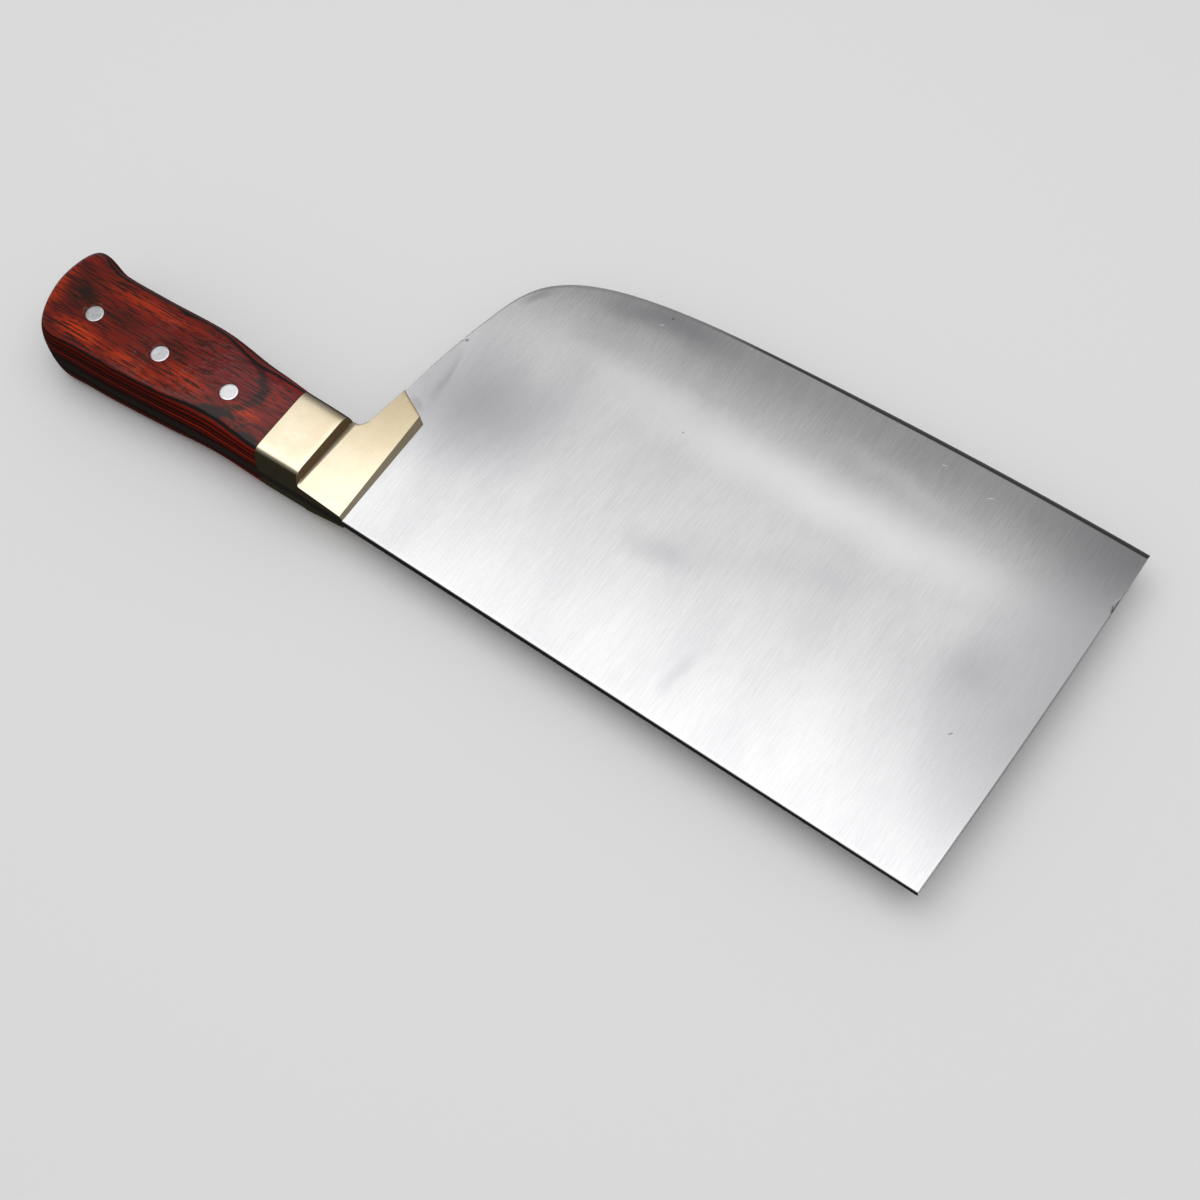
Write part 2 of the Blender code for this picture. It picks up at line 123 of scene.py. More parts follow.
def bezier(start, start_pull, end_pull, end, share):
    """Cubic curve: the ends and their pulled points, weighted by the powers of share and
    1 - share."""
    start, end, share = np.array(start), np.array(end), share[:, None]
    near = (1 - share) ** 3 * start + 3 * share * (1 - share) ** 2 * (start + start_pull)
    return near + 3 * share**2 * (1 - share) * (end + end_pull) + share**3 * end


def smooth_through(points, steps):
    """Catmull-Rom curve: each stretch leaves and arrives with half the step between its
    neighbours as its slope."""
    points = np.array(points)
    padded = np.vstack((2 * points[0] - points[1], points, 2 * points[-1] - points[-2]))
    before, start, end, after = (padded[i : len(padded) - 3 + i, None] for i in range(4))
    share = np.linspace(0.0, 1.0, steps, endpoint=False)[None, :, None]
    leaving, arriving = (end - before) / 2, (after - start) / 2
    bend = 3 * (end - start) - 2 * leaving - arriving
    twist = leaving + arriving - 2 * (end - start)
    curve = start + leaving * share + bend * share**2 + twist * share**3
    return np.vstack((curve.reshape(-1, points.shape[1]), points[-1:]))


# %% Points along a curve
def columns_at(curve, where, wanted):
    """Each column of the curve, read off where the given rising values reach wanted."""
    return np.column_stack([np.interp(wanted, where, values) for values in curve.T])


def along(curve, shares):
    """The curve's points at shares of its length."""
    steps = np.hypot(*np.diff(curve[:, :2], axis=0).T)
    length = np.concatenate(([0.0], np.cumsum(steps)))
    return columns_at(curve, length, np.asarray(shares) * length[-1])


def spread(start, end, count):
    """Evenly spaced values after start, up to end."""
    return np.linspace(start, end, count + 1)[1:]


# %% [markdown]
# ## The handle's outline
# Twelve points run from the finger side of the joint round the beak and the butt and back
# along the spine side. Each also carries how square the rounding of the wood's edge is,
# and how much of the way to the middle of the face that rounding takes.

# %% The handle's outline
HANDLE_LENGTH = 98.4
GRIP_X = -HANDLE_LENGTH / 2
CROWN_END = 77.0
OUTLINE_STEPS = 40
JOINT_X = 0.35
FINGER_SIDE, SPINE_SIDE = 14.2, 14.8
CROWN_BUTT, CROWN_GRIP, CROWN_JOINT = 12.4, 11.4, 11.2
JOINT, NECK, GRIP = (12.0, 1.0), (3.4, 0.55), (2.2, 0.25)
BUTT, HEEL = (2.2, 0.22), (2.2, 0.15)
OUTLINE = (
    (JOINT_X, FINGER_SIDE, *JOINT),
    (-16.0, 16.6, *NECK),
    (-36.0, 19.0, *GRIP),
    (-62.0, 18.6, *GRIP),
    (-79.3, 18.7, *GRIP),
    (-95.0, 21.1, *GRIP),
    (-HANDLE_LENGTH, 3.6, *BUTT),
    (-89.2, -14.4, *HEEL),
    (-72.0, -16.8, *GRIP),
    (-42.0, -15.6, *GRIP),
    (-18.0, -14.6, *NECK),
    (JOINT_X, -SPINE_SIDE, *JOINT),
)
outline = smooth_through(OUTLINE, OUTLINE_STEPS)
turning = np.argmin(outline[:, 0])
finger_side, spine_side = outline[turning::-1], outline[turning:]
print("outline points:", len(outline))


def crown_height(x):
    """Height of the wood over the steel's middle on the rivet line: straight from the
    butt to the middle of the grip and from there to the brass."""
    places, heights = (-HANDLE_LENGTH, GRIP_X, 0.0), (CROWN_BUTT, CROWN_GRIP, CROWN_JOINT)
    return np.interp(x, places, heights)


# %% [markdown]
# ## The steel
# Blade and tang are one forging. Lines run across it from the spine to the edge, each
# between a point on the spine and a point on the heel or the cutting edge. Along each
# line goes half a section: an eased corner at the spine, the flat, and the bevel or, where
# nothing is sharpened, a second eased corner. Mirrored below, the half becomes a ring.

# %% Sizes of the steel
STEEL_HALF = 1.8
# Where the collar, the plate and the spine end along the knife
COLLAR_END, PLATE_END, TIP_X = 17.05, 34.6, 236.6
# The spine's distance from the rivet line at the plate and at the tip
SPINE_AT_PLATE, SPINE_AT_TIP = 15.3, 22.6
# The cutting edge: its lowest point, its bend, and how far it ends ahead of the spine
EDGE_Y, BELLY_X, EDGE_BEND = 106.3, 138.4, 3.2 / 103.2**2
TIP_SLANT = 5.0
# The finger notch between the collar's side and the heel
COLLAR_SIDE = 13.5
NOTCH_X, NOTCH_RADIUS = 17.7, 3.1
# The heel: where the plate ends on it and where it starts to bend, with its slope there
PLATE_HEEL, HEEL_BEND = (22.6, 32.0), (27.8, 71.9)
HEEL_SLOPE = 0.204
# The round corner: its ends on the spine side and on the edge, and its two pulls
CORNER_FOOT, CORNER_END = 47.0, 101.8
CORNER_PULLS = (18.0, 64.6)
# The plunge line, where the grind ends just ahead of the plate
NUDGE = 0.3
PLUNGE_X, PLUNGE_Y, PLUNGE_RUN = PLATE_END + NUDGE, 58.0, 2.4
PLUNGE_PULLS = ((1.5, 45.3), (4.1, -20.0))

# %% Outlines of the steel
CURVE_POINTS = 81


def spine_y(x):
    """The spine side: in line with the bolster, then falling away to the tip."""
    reach = (SPINE_SIDE, SPINE_AT_PLATE, SPINE_AT_TIP)
    return -np.interp(x, (0.0, PLATE_END, TIP_X), reach)


def edge_y(x):
    """The cutting edge, a shallow parabola about the belly."""
    return EDGE_Y - EDGE_BEND * (x - BELLY_X) ** 2


def notch_arc(steps):
    """Quarter circle of the finger notch, from the collar's side to the heel."""
    turn = np.linspace(-math.pi / 2, 0.0, steps + 1)
    centre = (NOTCH_X, COLLAR_SIDE + NOTCH_RADIUS)
    return centre + NOTCH_RADIUS * np.column_stack((np.cos(turn), np.sin(turn)))


def heel_points(heights):
    """The heel above the notch: a pulled curve read off at the given heights."""
    foot = notch_arc(1)[-1]
    pull = (HEEL_BEND[1] - foot[1]) / 3
    share = np.linspace(0, 1, CURVE_POINTS)
    line = bezier(foot, (0.0, pull), (-HEEL_SLOPE * pull, -pull), HEEL_BEND, share)
    return columns_at(line, line[:, 1], heights)


def heel_corner(steps):
    """The big round corner, which leaves the heel and lands on the cutting edge smoothly."""
    end, after = (np.array((x, edge_y(x))) for x in (CORNER_END, CORNER_END + NUDGE))
    leaving = np.array((HEEL_SLOPE, 1.0)) * CORNER_PULLS[0]
    landing = (end - after) / NUDGE * CORNER_PULLS[1]
    return bezier(HEEL_BEND, leaving, landing, end, np.linspace(0, 1, steps + 1))


def plunge_bow(share):
    """How far the end of the grind bows ahead of a straight line across the blade."""
    low, high = (PLUNGE_X, spine_y(PLUNGE_X)), heel_points([PLUNGE_Y])[0]
    curve = bezier(low, *PLUNGE_PULLS, high, np.linspace(0, 1, CURVE_POINTS))
    heights = blend(low[1], high[1], share)
    return np.interp(heights, curve[:, 1], curve[:, 0]) - blend(low[0], high[0], share)


# %% Lines across the steel
TANG_LINES, TANG_CROWDING = 90, 1.5
DENSE_RUN = 3.0


def edge_points(start, end, count):
    """Points on the cutting edge."""
    x = spread(start, end, count)
    return np.column_stack((x, edge_y(x)))


plunge_foot, plunge_top = PLUNGE_X + PLUNGE_RUN, PLUNGE_Y + PLUNGE_RUN
edge_end, heel_x, heel_foot_y = TIP_X + TIP_SLANT, PLATE_HEEL[0], COLLAR_SIDE + NOTCH_RADIUS
stretches = (
    (notch_arc(10), 0.0, heel_x),
    (heel_points(spread(heel_foot_y, PLUNGE_Y, 30)), heel_x, PLUNGE_X),
    (heel_points(spread(PLUNGE_Y, plunge_top, 10)), PLUNGE_X, plunge_foot),
    (heel_points(spread(plunge_top, HEEL_BEND[1], 10)), plunge_foot, CORNER_FOOT),
    (heel_corner(70)[1:], CORNER_FOOT, CORNER_END),
    (edge_points(CORNER_END, edge_end - DENSE_RUN, 105), CORNER_END, TIP_X - DENSE_RUN),
    (edge_points(edge_end - DENSE_RUN, edge_end, 12), TIP_X - DENSE_RUN, TIP_X),
)
tang_shares = spread(0.0, 1.0, TANG_LINES) ** TANG_CROWDING
high = np.vstack([along(finger_side, tang_shares)[:, :2], *(s[0] for s in stretches)])
low_x = np.concatenate([spread(start, end, len(points)) for points, start, end in stretches])
low_line = np.column_stack((low_x, spine_y(low_x)))
low = np.vstack((along(spine_side, tang_shares)[:, :2], low_line))
print("lines across the steel:", len(low))

# %% [markdown]
# The section is a wedge, thick at the spine and thin at the bevel, and it also thins
# towards the tip. A grinding belt gives a little, so the flank is nearly flat at the spine
# and rolls over towards the edge. Behind the plunge line the steel keeps its full
# thickness, and the two meet in a long, soft ramp. A nick in the heel and a dent in the tip
# come from real use.

# %% Thickness of the blade
TIP_HALF, BEVEL_HALF, KEEN_EDGE = 1.2, 0.45, 0.04
FLANK_BELLY = 2.8
FULL_BEVEL = 1.0


def steel_thickness(x, y):
    """Half the ground blade's thickness: blend from the spine's half thickness to that at
    the bevel, by the share s of the way across, plus a belly that goes as s^2 (1 - s)."""
    spine_half = np.interp(x, (PLATE_END, TIP_X), (STEEL_HALF, TIP_HALF))
    from_spine, width = y - spine_y(x), edge_y(x) - FULL_BEVEL - spine_y(x)
    share = np.clip(from_spine / width, 0.0, 1.0)
    return blend(spine_half, BEVEL_HALF, share) + FLANK_BELLY * share**2 * (1 - share)


# %% Rows across the steel
CORNER_EASE = 0.35
EASE_STEPS, FLAT_ROWS = 4, 110
ease_turn = np.linspace(0.0, math.pi / 2, EASE_STEPS + 1)[None, :]
ease_share = ease_turn[:, 1:] / ease_turn[0, -1]


def rows_across(length, last_in, keen):
    """Distances from the spine: r (1 - cos) in the eased corner, even on the flat, and in
    the last rows r sin for an eased corner or, where the edge is keen, even for a bevel."""
    flat = np.linspace(0.0, 1.0, FLAT_ROWS + 1)[None, 1:]
    corner_in = CORNER_EASE * (1 - np.cos(ease_turn)) + 0 * length
    flat_in = CORNER_EASE + (length - CORNER_EASE - last_in) * flat
    round_in = length - last_in * (1 - np.sin(ease_turn[:, 1:]))
    bevel_in = length - last_in * (1 - ease_share)
    return np.hstack((corner_in, flat_in, blend(round_in, bevel_in, keen)))


# %% The blade's surface
# How wide the bevel is at three places along the knife
BEVELS, BEVEL_FROM = (0.35, 0.4, FULL_BEVEL), (HEEL_BEND[0], CORNER_END, 150.0)
# How far along the knife the edge turns keen, the grind fades in and the tip bows out
KEEN_RUN, GRIND_RUN, TIP_BOW_RUN = 6.0, 15.0, 8.0
TIP_BOW = 0.6


def steel_rings():
    """x, y and half thickness along all lines at once. The half thickness falls short of
    the wedge's by r (1 - sin) in the corner at the spine and by r (1 - cos) in the one at
    the edge, or falls evenly over the bevel to the keen edge."""
    length = np.hypot(*(high - low).T)[:, None]
    bevel = np.interp(high[:, 0], BEVEL_FROM, BEVELS)[:, None]
    keen = ease((high[:, 0] - HEEL_BEND[0]) / KEEN_RUN)[:, None]
    keen[: len(tang_shares)] = 0.0
    across = rows_across(length, blend(CORNER_EASE, bevel, keen), keen) / length
    points = blend(low[:, None], high[:, None], across[..., None])
    bow = np.interp(low[:, 0], (COLLAR_END, PLUNGE_X, plunge_foot, CORNER_END), (0, 1, 1, 0))
    x, y = points[..., 0] + bow[:, None] * plunge_bow(across), points[..., 1]
    x += TIP_BOW * np.sin(math.pi * across) * ease((low[:, :1] - TIP_X) / TIP_BOW_RUN + 1)
    ground = ease((low[:, :1] - PLUNGE_X) / GRIND_RUN)
    half = blend(STEEL_HALF, steel_thickness(x, y), ground)
    half[:, : EASE_STEPS + 1] -= CORNER_EASE * (1 - np.sin(ease_turn))
    blunt = half[:, -EASE_STEPS:] - CORNER_EASE * (1 - np.cos(ease_turn[:, 1:]))
    fall = (BEVEL_HALF - KEEN_EDGE) * bevel / FULL_BEVEL
    sharp = half[:, -EASE_STEPS - 1 : -EASE_STEPS] - fall * ease_share
    half[:, -EASE_STEPS:] = blend(blunt, sharp, keen)
    return x, y, half


# %% Nick, dent and tip
NICK_Y, NICK_DEPTH, NICK_WIDTH, NICK_REACH = 58.9, 0.35, 0.45, 1.0
DENT_Y, DENT_DEPTH, DENT_WIDTH, DENT_REACH = 82.6, 0.8, 1.6, 3.0
HEEL_REACH = 40.0
TIP_ROUND = 0.3


def bump(distance, width):
    """Bell curve: 1 at distance 0, 1 / e where the distance is the width."""
    return np.exp(-((distance / width) ** 2))


x, y, half = steel_rings()
at_nick = bump(high[:, 1:] - NICK_Y, NICK_WIDTH) * (high[:, :1] < HEEL_REACH)
x += NICK_DEPTH * at_nick * bump(x - high[:, :1], NICK_REACH)
x -= DENT_DEPTH * bump(x[-1] - x, DENT_REACH) * bump(y - DENT_Y, DENT_WIDTH)
tip_in = np.clip(1 - (x[-1] - x) / CORNER_EASE, 0.0, 1.0)
half = np.minimum(half, np.maximum(half - TIP_ROUND * tip_in**2, KEEN_EDGE))
upper = np.stack((x, y, half), axis=-1)
lower = np.stack((x, y, -half), axis=-1)[:, ::-1]
blade = skin("forged_blade", np.concatenate((upper, lower), axis=1), True, True)

# %% [markdown]
# ## Superellipses
# The wood's and the brass's sections are superellipses, |x|^m + |z|^n = 1. With m = n = 2
# that is an ellipse, with both at 60 a box with just broken corners. With m = 12 and n = 2.2
# the top is flat up to a tight corner and the side below it leans, as on the collar. The
# points crowd towards the corner, where the curve turns.

# %% A quarter of a section
QUARTER_STEPS = 16
CROWDING = 2.0
LEAN = 2.2


def section_quarter(squareness, lean, lowest):
    """Shares of width and height from the height lowest on the side, by the corner, to the
    top. At the corner x^m and z^n are both a half. Below it the width follows from the
    height as (1 - z^n)^(1/m), above it the height from the width as (1 - x^m)^(1/n)."""
    settings = np.broadcast_arrays(squareness, lean, lowest)
    squareness, lean, lowest = (np.asarray(values, float)[:, None] for values in settings)
    steps = np.linspace(1.0, 0.0, QUARTER_STEPS + 1)[None, :] ** CROWDING
    below = blend(0.5 ** (1 / lean), lowest, steps)
    above = 0.5 ** (1 / squareness) * (1 - steps[:, ::-1][:, 1:])
    across = np.hstack(((1 - below**lean) ** (1 / squareness), above))
    up = np.hstack((below, (1 - above**squareness) ** (1 / lean)))
    return across, up


# %% [markdown]
# ## The wooden scales
# The rings of a scale follow the handle's outline, one above the other: the first lies on
# the tang, the next climb the rounded edge, and the last have shrunk to the crown, a line
# along the middle of the face. Past the end of the crown they gather round one point.

# %% The scales
JOINT_LINE = 0.06
SEAT = STEEL_HALF + JOINT_LINE
SIDE_POINTS, BUTT_POINTS, TOP_STEPS = 70, 110, 8

places = np.linspace(JOINT_X - JOINT_LINE, -CROWN_END, SIDE_POINTS + 1)
sides = [columns_at(side, side[:, 0], places) for side in (finger_side, spine_side)]
butt = [side[side[:, 0] < -CROWN_END] for side in (finger_side, spine_side)]
butt = np.vstack((sides[0][-1:], butt[0][::-1], butt[1], sides[1][-1:]))
butt = along(butt, np.linspace(0.0, 1.0, BUTT_POINTS + 1))
rim = np.vstack((sides[0], butt[1:-1], sides[1][::-1]))


def scale_rings(side):
    """Each outline point climbs to the crown at its own x: first the rounded edge, whose
    superellipse takes only its share of the way, then straight in over the flat face."""
    rim_x, rim_y, squareness, rounded = (values[:, None] for values in rim.T)
    crown = np.maximum(rim_x, -CROWN_END)
    top = crown_height(crown)
    across, up = section_quarter(squareness[:, 0], LEAN, (SEAT / top)[:, 0])
    across = 1 - rounded * (1 - across)
    inner = across[:, -1:] * np.linspace(1.0, 0.0, TOP_STEPS + 1)[1:]
    across = np.hstack((across, inner))
    up = np.hstack((up, np.ones_like(inner)))
    x, y, z = crown + (rim_x - crown) * across, rim_y * across, side * top * up
    return np.stack((x, y, z), axis=-1).transpose(1, 0, 2)


scales = [
    skin("wood_scale_upper", scale_rings(1), close_first=True),
    skin("wood_scale_lower", scale_rings(-1), close_first=True),
]

# %% [markdown]
# ## The brass bolster
# Each half is a row of sections from the wood to the blade: a thick collar that carries on
# the wood's shape, a crest, a steep step with a fillet that is wider on the finger side,
# and a plate that thins out, runs up the heel and ends in a slanted shoulder and a
# chamfered front edge.

# %% Sizes of the bolster
COLLAR, CRISP = (JOINT[0], LEAN), (60.0, 60.0)
COLLAR_SECTIONS, CREST_SECTIONS, STEP_SECTIONS = 12, 6, 12
# The collar: a point on its finger side, and the radius of its crest
WAIST_X, WAIST_Y = 8.5, 13.9
CREST = 0.35
# The step: how far its wall leans, and its fillets on the spine and the finger side
STEP_LEAN = 0.2
FILLETS = (0.9, 2.1)
# The plate: half its thickness in front, what it gains up to the step on the spine side,
# and the share of that gain which is gone on the finger side
LOW_Y = -15.0
FRONT_HALF, PLATE_RISE, DROOP = 3.2, 3.8, 0.6
# Its outline: on the spine side, beside the notch, and in front with its chamfers
FRONT_SPINE_SIDE = 15.1
NOTCH_SHARE = 0.6
FRONT_X, FRONT_Y = 34.1, 25.8
CHAMFERS = (1.3, 2.45)
FOOT = 0.1

# %% Stations of the bolster
def bolster_spine(x):
    """The bolster's spine side."""
    return np.column_stack((x, -np.interp(x, (0.0, PLATE_END), (SPINE_SIDE, FRONT_SPINE_SIDE))))


def plate_half(x, y):
    """Half the plate's thickness: straight down from the step to the front edge, and less
    towards the finger side, where the share DROOP of the rise is gone."""
    rise = np.interp(x, (COLLAR_END, PLATE_END), (PLATE_RISE, 0.0))
    return FRONT_HALF + rise * (1 - DROOP * (y - LOW_Y) / (PLATE_HEEL[1] - LOW_Y))


def shoulder_y(x):
    """The slanted end of the plate."""
    return np.interp(x, (PLATE_HEEL[0], PLATE_END), (PLATE_HEEL[1], FRONT_Y))


def stations(low_x, low_half, high, high_half, powers):
    """Rows of spine x, y, half thickness there, edge x, y, half thickness there, and
    the section's two powers, one row for each section."""
    low = bolster_spine(np.asarray(low_x, float))
    rest = [np.broadcast_to(v, len(low)) for v in (low_half, high_half, *powers)]
    return np.column_stack((low, rest[0], high, *rest[1:]))


# %% Collar and crest
crest_start = COLLAR_END - CREST
turn = spread(0.0, math.pi / 2, CREST_SECTIONS)
level_x = np.linspace(JOINT_X + JOINT_LINE, crest_start, COLLAR_SECTIONS)
collar_x = np.concatenate((level_x, crest_start + CREST * np.sin(turn)))
collar_y = np.interp(collar_x, (0.0, WAIST_X, crest_start), (FINGER_SIDE, WAIST_Y, COLLAR_SIDE))
round_off = np.concatenate((0 * level_x, CREST * (1 - np.cos(turn))))
collar_half = CROWN_JOINT - round_off
collar_high = np.column_stack((collar_x, collar_y))
collar = stations(collar_x, collar_half, collar_high, collar_half, COLLAR)

# %% Step, plate and foot
turn = np.linspace(0.0, math.pi / 2, STEP_SECTIONS + 1)
run, rise = 1 - np.cos(turn), 1 - np.sin(turn)
notch = np.vstack(((COLLAR_END, COLLAR_SIDE), notch_arc(40)))
step_low_x, step_high_x = (COLLAR_END + STEP_LEAN + fillet * run for fillet in FILLETS)
step_high = columns_at(notch, notch[:, 0], step_high_x)
step = stations(
    step_low_x,
    plate_half(step_low_x, LOW_Y) + FILLETS[0] * rise,
    step_high,
    plate_half(*step_high.T) + FILLETS[1] * rise,
    blend(np.array(COLLAR), np.array(CRISP), run[:, None]).T,
)
heel_high = np.linspace(notch_arc(1)[-1], PLATE_HEEL, 9)
heel_low_x = np.linspace(blend(COLLAR_END, heel_x, NOTCH_SHARE), heel_x, len(heel_high))
front_low_x, front_high_x = (spread(heel_x, PLATE_END - chamfer, 8) for chamfer in CHAMFERS)
front_high = np.column_stack((front_high_x, shoulder_y(front_high_x)))
plate_low_x = np.concatenate((heel_low_x, front_low_x))
plate_high = np.vstack((heel_high, front_high))
plate = stations(
    plate_low_x, plate_half(plate_low_x, LOW_Y), plate_high, plate_half(*plate_high.T), CRISP
)
foot = stations([FRONT_X], SEAT + FOOT, [(FRONT_X, FRONT_Y)], SEAT + FOOT, CRISP)
bolster_rows = np.vstack((collar, step, plate, foot))
print("sections of the bolster:", len(bolster_rows))


# %% The two halves
FILED_EDGE = math.radians(20)


def bolster_rings(side):
    """Sections across the bolster: a quarter superellipse up from the spine side and one
    down to the edge side, laid along the line between the station's two ends."""
    low, low_half = bolster_rows[:, None, 0:2], bolster_rows[:, 2]
    high, high_half = bolster_rows[:, None, 3:5], bolster_rows[:, 5]
    powers = bolster_rows[:, 6:].T
    (left, climb), (right, fall) = (
        section_quarter(*powers, SEAT / half) for half in (low_half, high_half)
    )
    across = np.hstack((-left, right[:, -2::-1]))
    up = np.hstack((climb, fall[:, -2::-1]))
    share = (across - across[:, :1]) / (across[:, -1:] - across[:, :1])
    flat = blend(low, high, share[..., None])
    height = side * up * blend(low_half[:, None], high_half[:, None], share)
    return np.concatenate((flat, height[..., None]), axis=-1)


bolster = [
    skin("brass_bolster_upper", bolster_rings(1), True, True, FILED_EDGE),
    skin("brass_bolster_lower", bolster_rings(-1), True, True, FILED_EDGE),
]

# %% [markdown]
# ## The rivets
# A rivet is turned: a profile carried round a circle. Its ends are filed flush, so they
# follow the slope of the wood, with a hair's breadth broken off round the rim.

# %% The rivets
RIVET_RADIUS = 3.0
RIVETS = {
    "rivet_front": FRONT_RIVET,
    "rivet_middle": (-47.9, -1.5),
    "rivet_rear": (-76.0, -1.0),
}
ROUND = 72
RIM = 0.12
PROUD = 0.01


def round_rings(centre, radius, height):
    """Circles round the centre with the given radii and heights, one ring for each."""
    turn = np.linspace(0.0, 2 * math.pi, ROUND, endpoint=False)[None, :]
    radius, height = np.asarray(radius)[:, None], np.asarray(height)[:, None]
    x, y = centre[0] + radius * np.cos(turn), centre[1] + radius * np.sin(turn)
    return x, y, height + 0 * x


def rivet_rings(centre):
    """Profile from the middle of one end round to the middle of the other: the ends lie on
    the wood's crown height at each point, less the broken rim."""
    inner = np.linspace(0.0, RIVET_RADIUS - RIM, 6)
    turn = spread(0.0, math.pi / 2, 4)
    radius = np.concatenate((inner, inner[-1] + RIM * np.sin(turn)))
    drop = np.concatenate((0 * inner, RIM * (1 - np.cos(turn))))
    both = [np.concatenate((values, values[::-1])) for values in (radius, drop)]
    x, y, down = round_rings(centre, *both)
    side = np.repeat((1.0, -1.0), len(radius))[:, None]
    return np.stack((x, y, side * (crown_height(x) + PROUD - down)), axis=-1)


rivets = {
    node: skin(node.replace("rivet", "flush_rivet"), rivet_rings(centre))
    for node, centre in RIVETS.items()
}

# %% [markdown]
# ## Drilling
# A rivet needs its hole, and the blind pins inside the bolster need theirs. A Boolean
# modifier takes a cylinder away from a piece, and the result is stored as the piece's mesh.

# %% Holes for rivets and pins
HOLE_ROOM = 0.05
THROUGH = 20.0
PINS = ((8.5, 7.0), (8.5, -7.0))
PIN_RADIUS, PIN_REACH = 2.0, 8.2


def drill(piece, centre, radius, reach):
    """Subtracts an upright cylinder that reaches as far below the steel as above it."""
    rings = np.stack(round_rings(centre, (radius, radius), (reach, -reach)), axis=-1)
    cutter = skin("drill", rings, True, True)
    hole = piece.modifiers.new("hole", "BOOLEAN")
    hole.solver, hole.object = "EXACT", cutter
    drilled = bpy.data.meshes.new_from_object(
        piece.evaluated_get(bpy.context.evaluated_depsgraph_get())
    )
    blank = piece.data
    piece.modifiers.clear()
    piece.data = drilled
    bpy.data.meshes.remove(blank)
    bpy.data.objects.remove(cutter)


for centre in RIVETS.values():
    for piece in (blade, *scales):
        drill(piece, centre, RIVET_RADIUS + HOLE_ROOM, THROUGH)
for centre in PINS:
    for piece in (blade, *bolster):
        drill(piece, centre, PIN_RADIUS + HOLE_ROOM, PIN_REACH)

# %% [markdown]
# ## Telling the frame what stands for what
# Each new piece rides on the knife's only body and replaces its plain CAD solid.

# %% Bodies, nodes and slots
STANDS_FOR = {
    blade: ("blade", "blade"),
    bolster[0]: ("bolster_upper", "bolster"),
    bolster[1]: ("bolster_lower", "bolster"),
    scales[0]: ("scale_upper", "grip"),
    scales[1]: ("scale_lower", "grip"),
    rivets["rivet_front"]: ("rivet_front", "rivet"),
    rivets["rivet_middle"]: ("rivet_middle", "rivet"),
    rivets["rivet_rear"]: ("rivet_rear", "rivet"),
}
for piece, (node, slot) in STANDS_FOR.items():
    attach(piece, "root")
    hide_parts(node)

# %% [markdown]
# ## Small tools for finishes
# A finish is a graph of nodes. These helpers add one node each and return its output, so
# that a finish reads like a formula. Every pattern starts from the Object coordinates,
# turned into the knife's own millimetres, so that a vein or a scratch has a real place.

# %% Node helpers
def add(tree, kind, output=0, inputs=None, **options):
    """Adds a node, sets its options, fills its inputs with values or links and returns one
    of its outputs."""
    made = tree.nodes.new("ShaderNode" + kind)
    for option, value in options.items():
        setattr(made, option, value)
    for socket, value in (inputs or {}).items():
        if isinstance(value, bpy.types.NodeSocket):
            tree.links.new(value, made.inputs[socket])
        else:
            made.inputs[socket].default_value = value
    return made.outputs[output]


def knife_mm(tree):
    """Object coordinates in millimetres, less the knife's origin."""
    place = add(tree, "TexCoord", "Object")
    return add(tree, "Mapping", inputs={0: place, 1: tuple(-ORIGIN), 3: (1 / MM,) * 3})


def calc(tree, operation, *values):
    """One step of arithmetic."""
    return add(tree, "Math", inputs=dict(enumerate(values)), operation=operation)


def axes(tree, vector):
    """The x, y and z of a vector."""
    parts = tree.nodes.new("ShaderNodeSeparateXYZ")
    tree.links.new(vector, parts.inputs[0])
    return parts.outputs


# %% Pattern helpers
UPRIGHT = 1e6


def grain(tree, vector, stretch, detail=3.0, roughness=0.55, distortion=0.0, output=0):
    """Noise with its own number of cells to a millimetre along x, y and z."""
    cells = add(tree, "Mapping", inputs={0: vector, 3: stretch})
    settings = {0: cells, 2: 1.0, 3: detail, 4: roughness, 8: distortion}
    return add(tree, "TexNoise", output, inputs=settings)


def rising(tree, value, low, high):
    """0 up to low, 1 from high on and an S-curve between. With low over high it falls."""
    if low > high:
        return calc(tree, "SUBTRACT", 1.0, rising(tree, value, high, low))
    settings = {0: value, 1: low, 2: high}
    return add(tree, "MapRange", inputs=settings, interpolation_type="SMOOTHSTEP")


def tint(tree, share, first, second):
    """The first colour where share is 0, the second where it is 1."""
    first, second = (
        ends if isinstance(ends, bpy.types.NodeSocket) else (*ends, 1.0) for ends in (first, second)
    )
    return add(tree, "Mix", 2, inputs={0: share, 6: first, 7: second}, data_type="RGBA")


def from_middle(tree, vector, centre, radii, angle=0.0):
    """Distance from the centre of a turned ellipse, 1 on the ellipse itself. The radius
    along z is so long that the height doesn't count."""
    turn = (0.0, 0.0, math.radians(angle))
    settings = {0: vector, 1: (*centre, 0.0), 2: turn, 3: (*radii, UPRIGHT)}
    turned = add(tree, "Mapping", inputs=settings, vector_type="TEXTURE")
    return add(tree, "VectorMath", 1, inputs={0: turned}, operation="LENGTH")


def patch(tree, vector, centre, radii, angle=0.0, core=0.35):
    """1 inside the core of an ellipse, fading to 0 at its rim."""
    return rising(tree, from_middle(tree, vector, centre, radii, angle), 1.0, core)


def ragged(tree, vector, stretch, reach, detail=3.0):
    """The vector pushed about by noise, by up to half the reach on each axis."""
    push = grain(tree, vector, stretch, detail, output=1)
    settings = {0: push, 1: (-0.5,) * 3}
    push = add(tree, "VectorMath", inputs=settings, operation="ADD")
    settings = {0: push, 1: reach, 2: vector}
    return add(tree, "VectorMath", inputs=settings, operation="MULTIPLY_ADD")


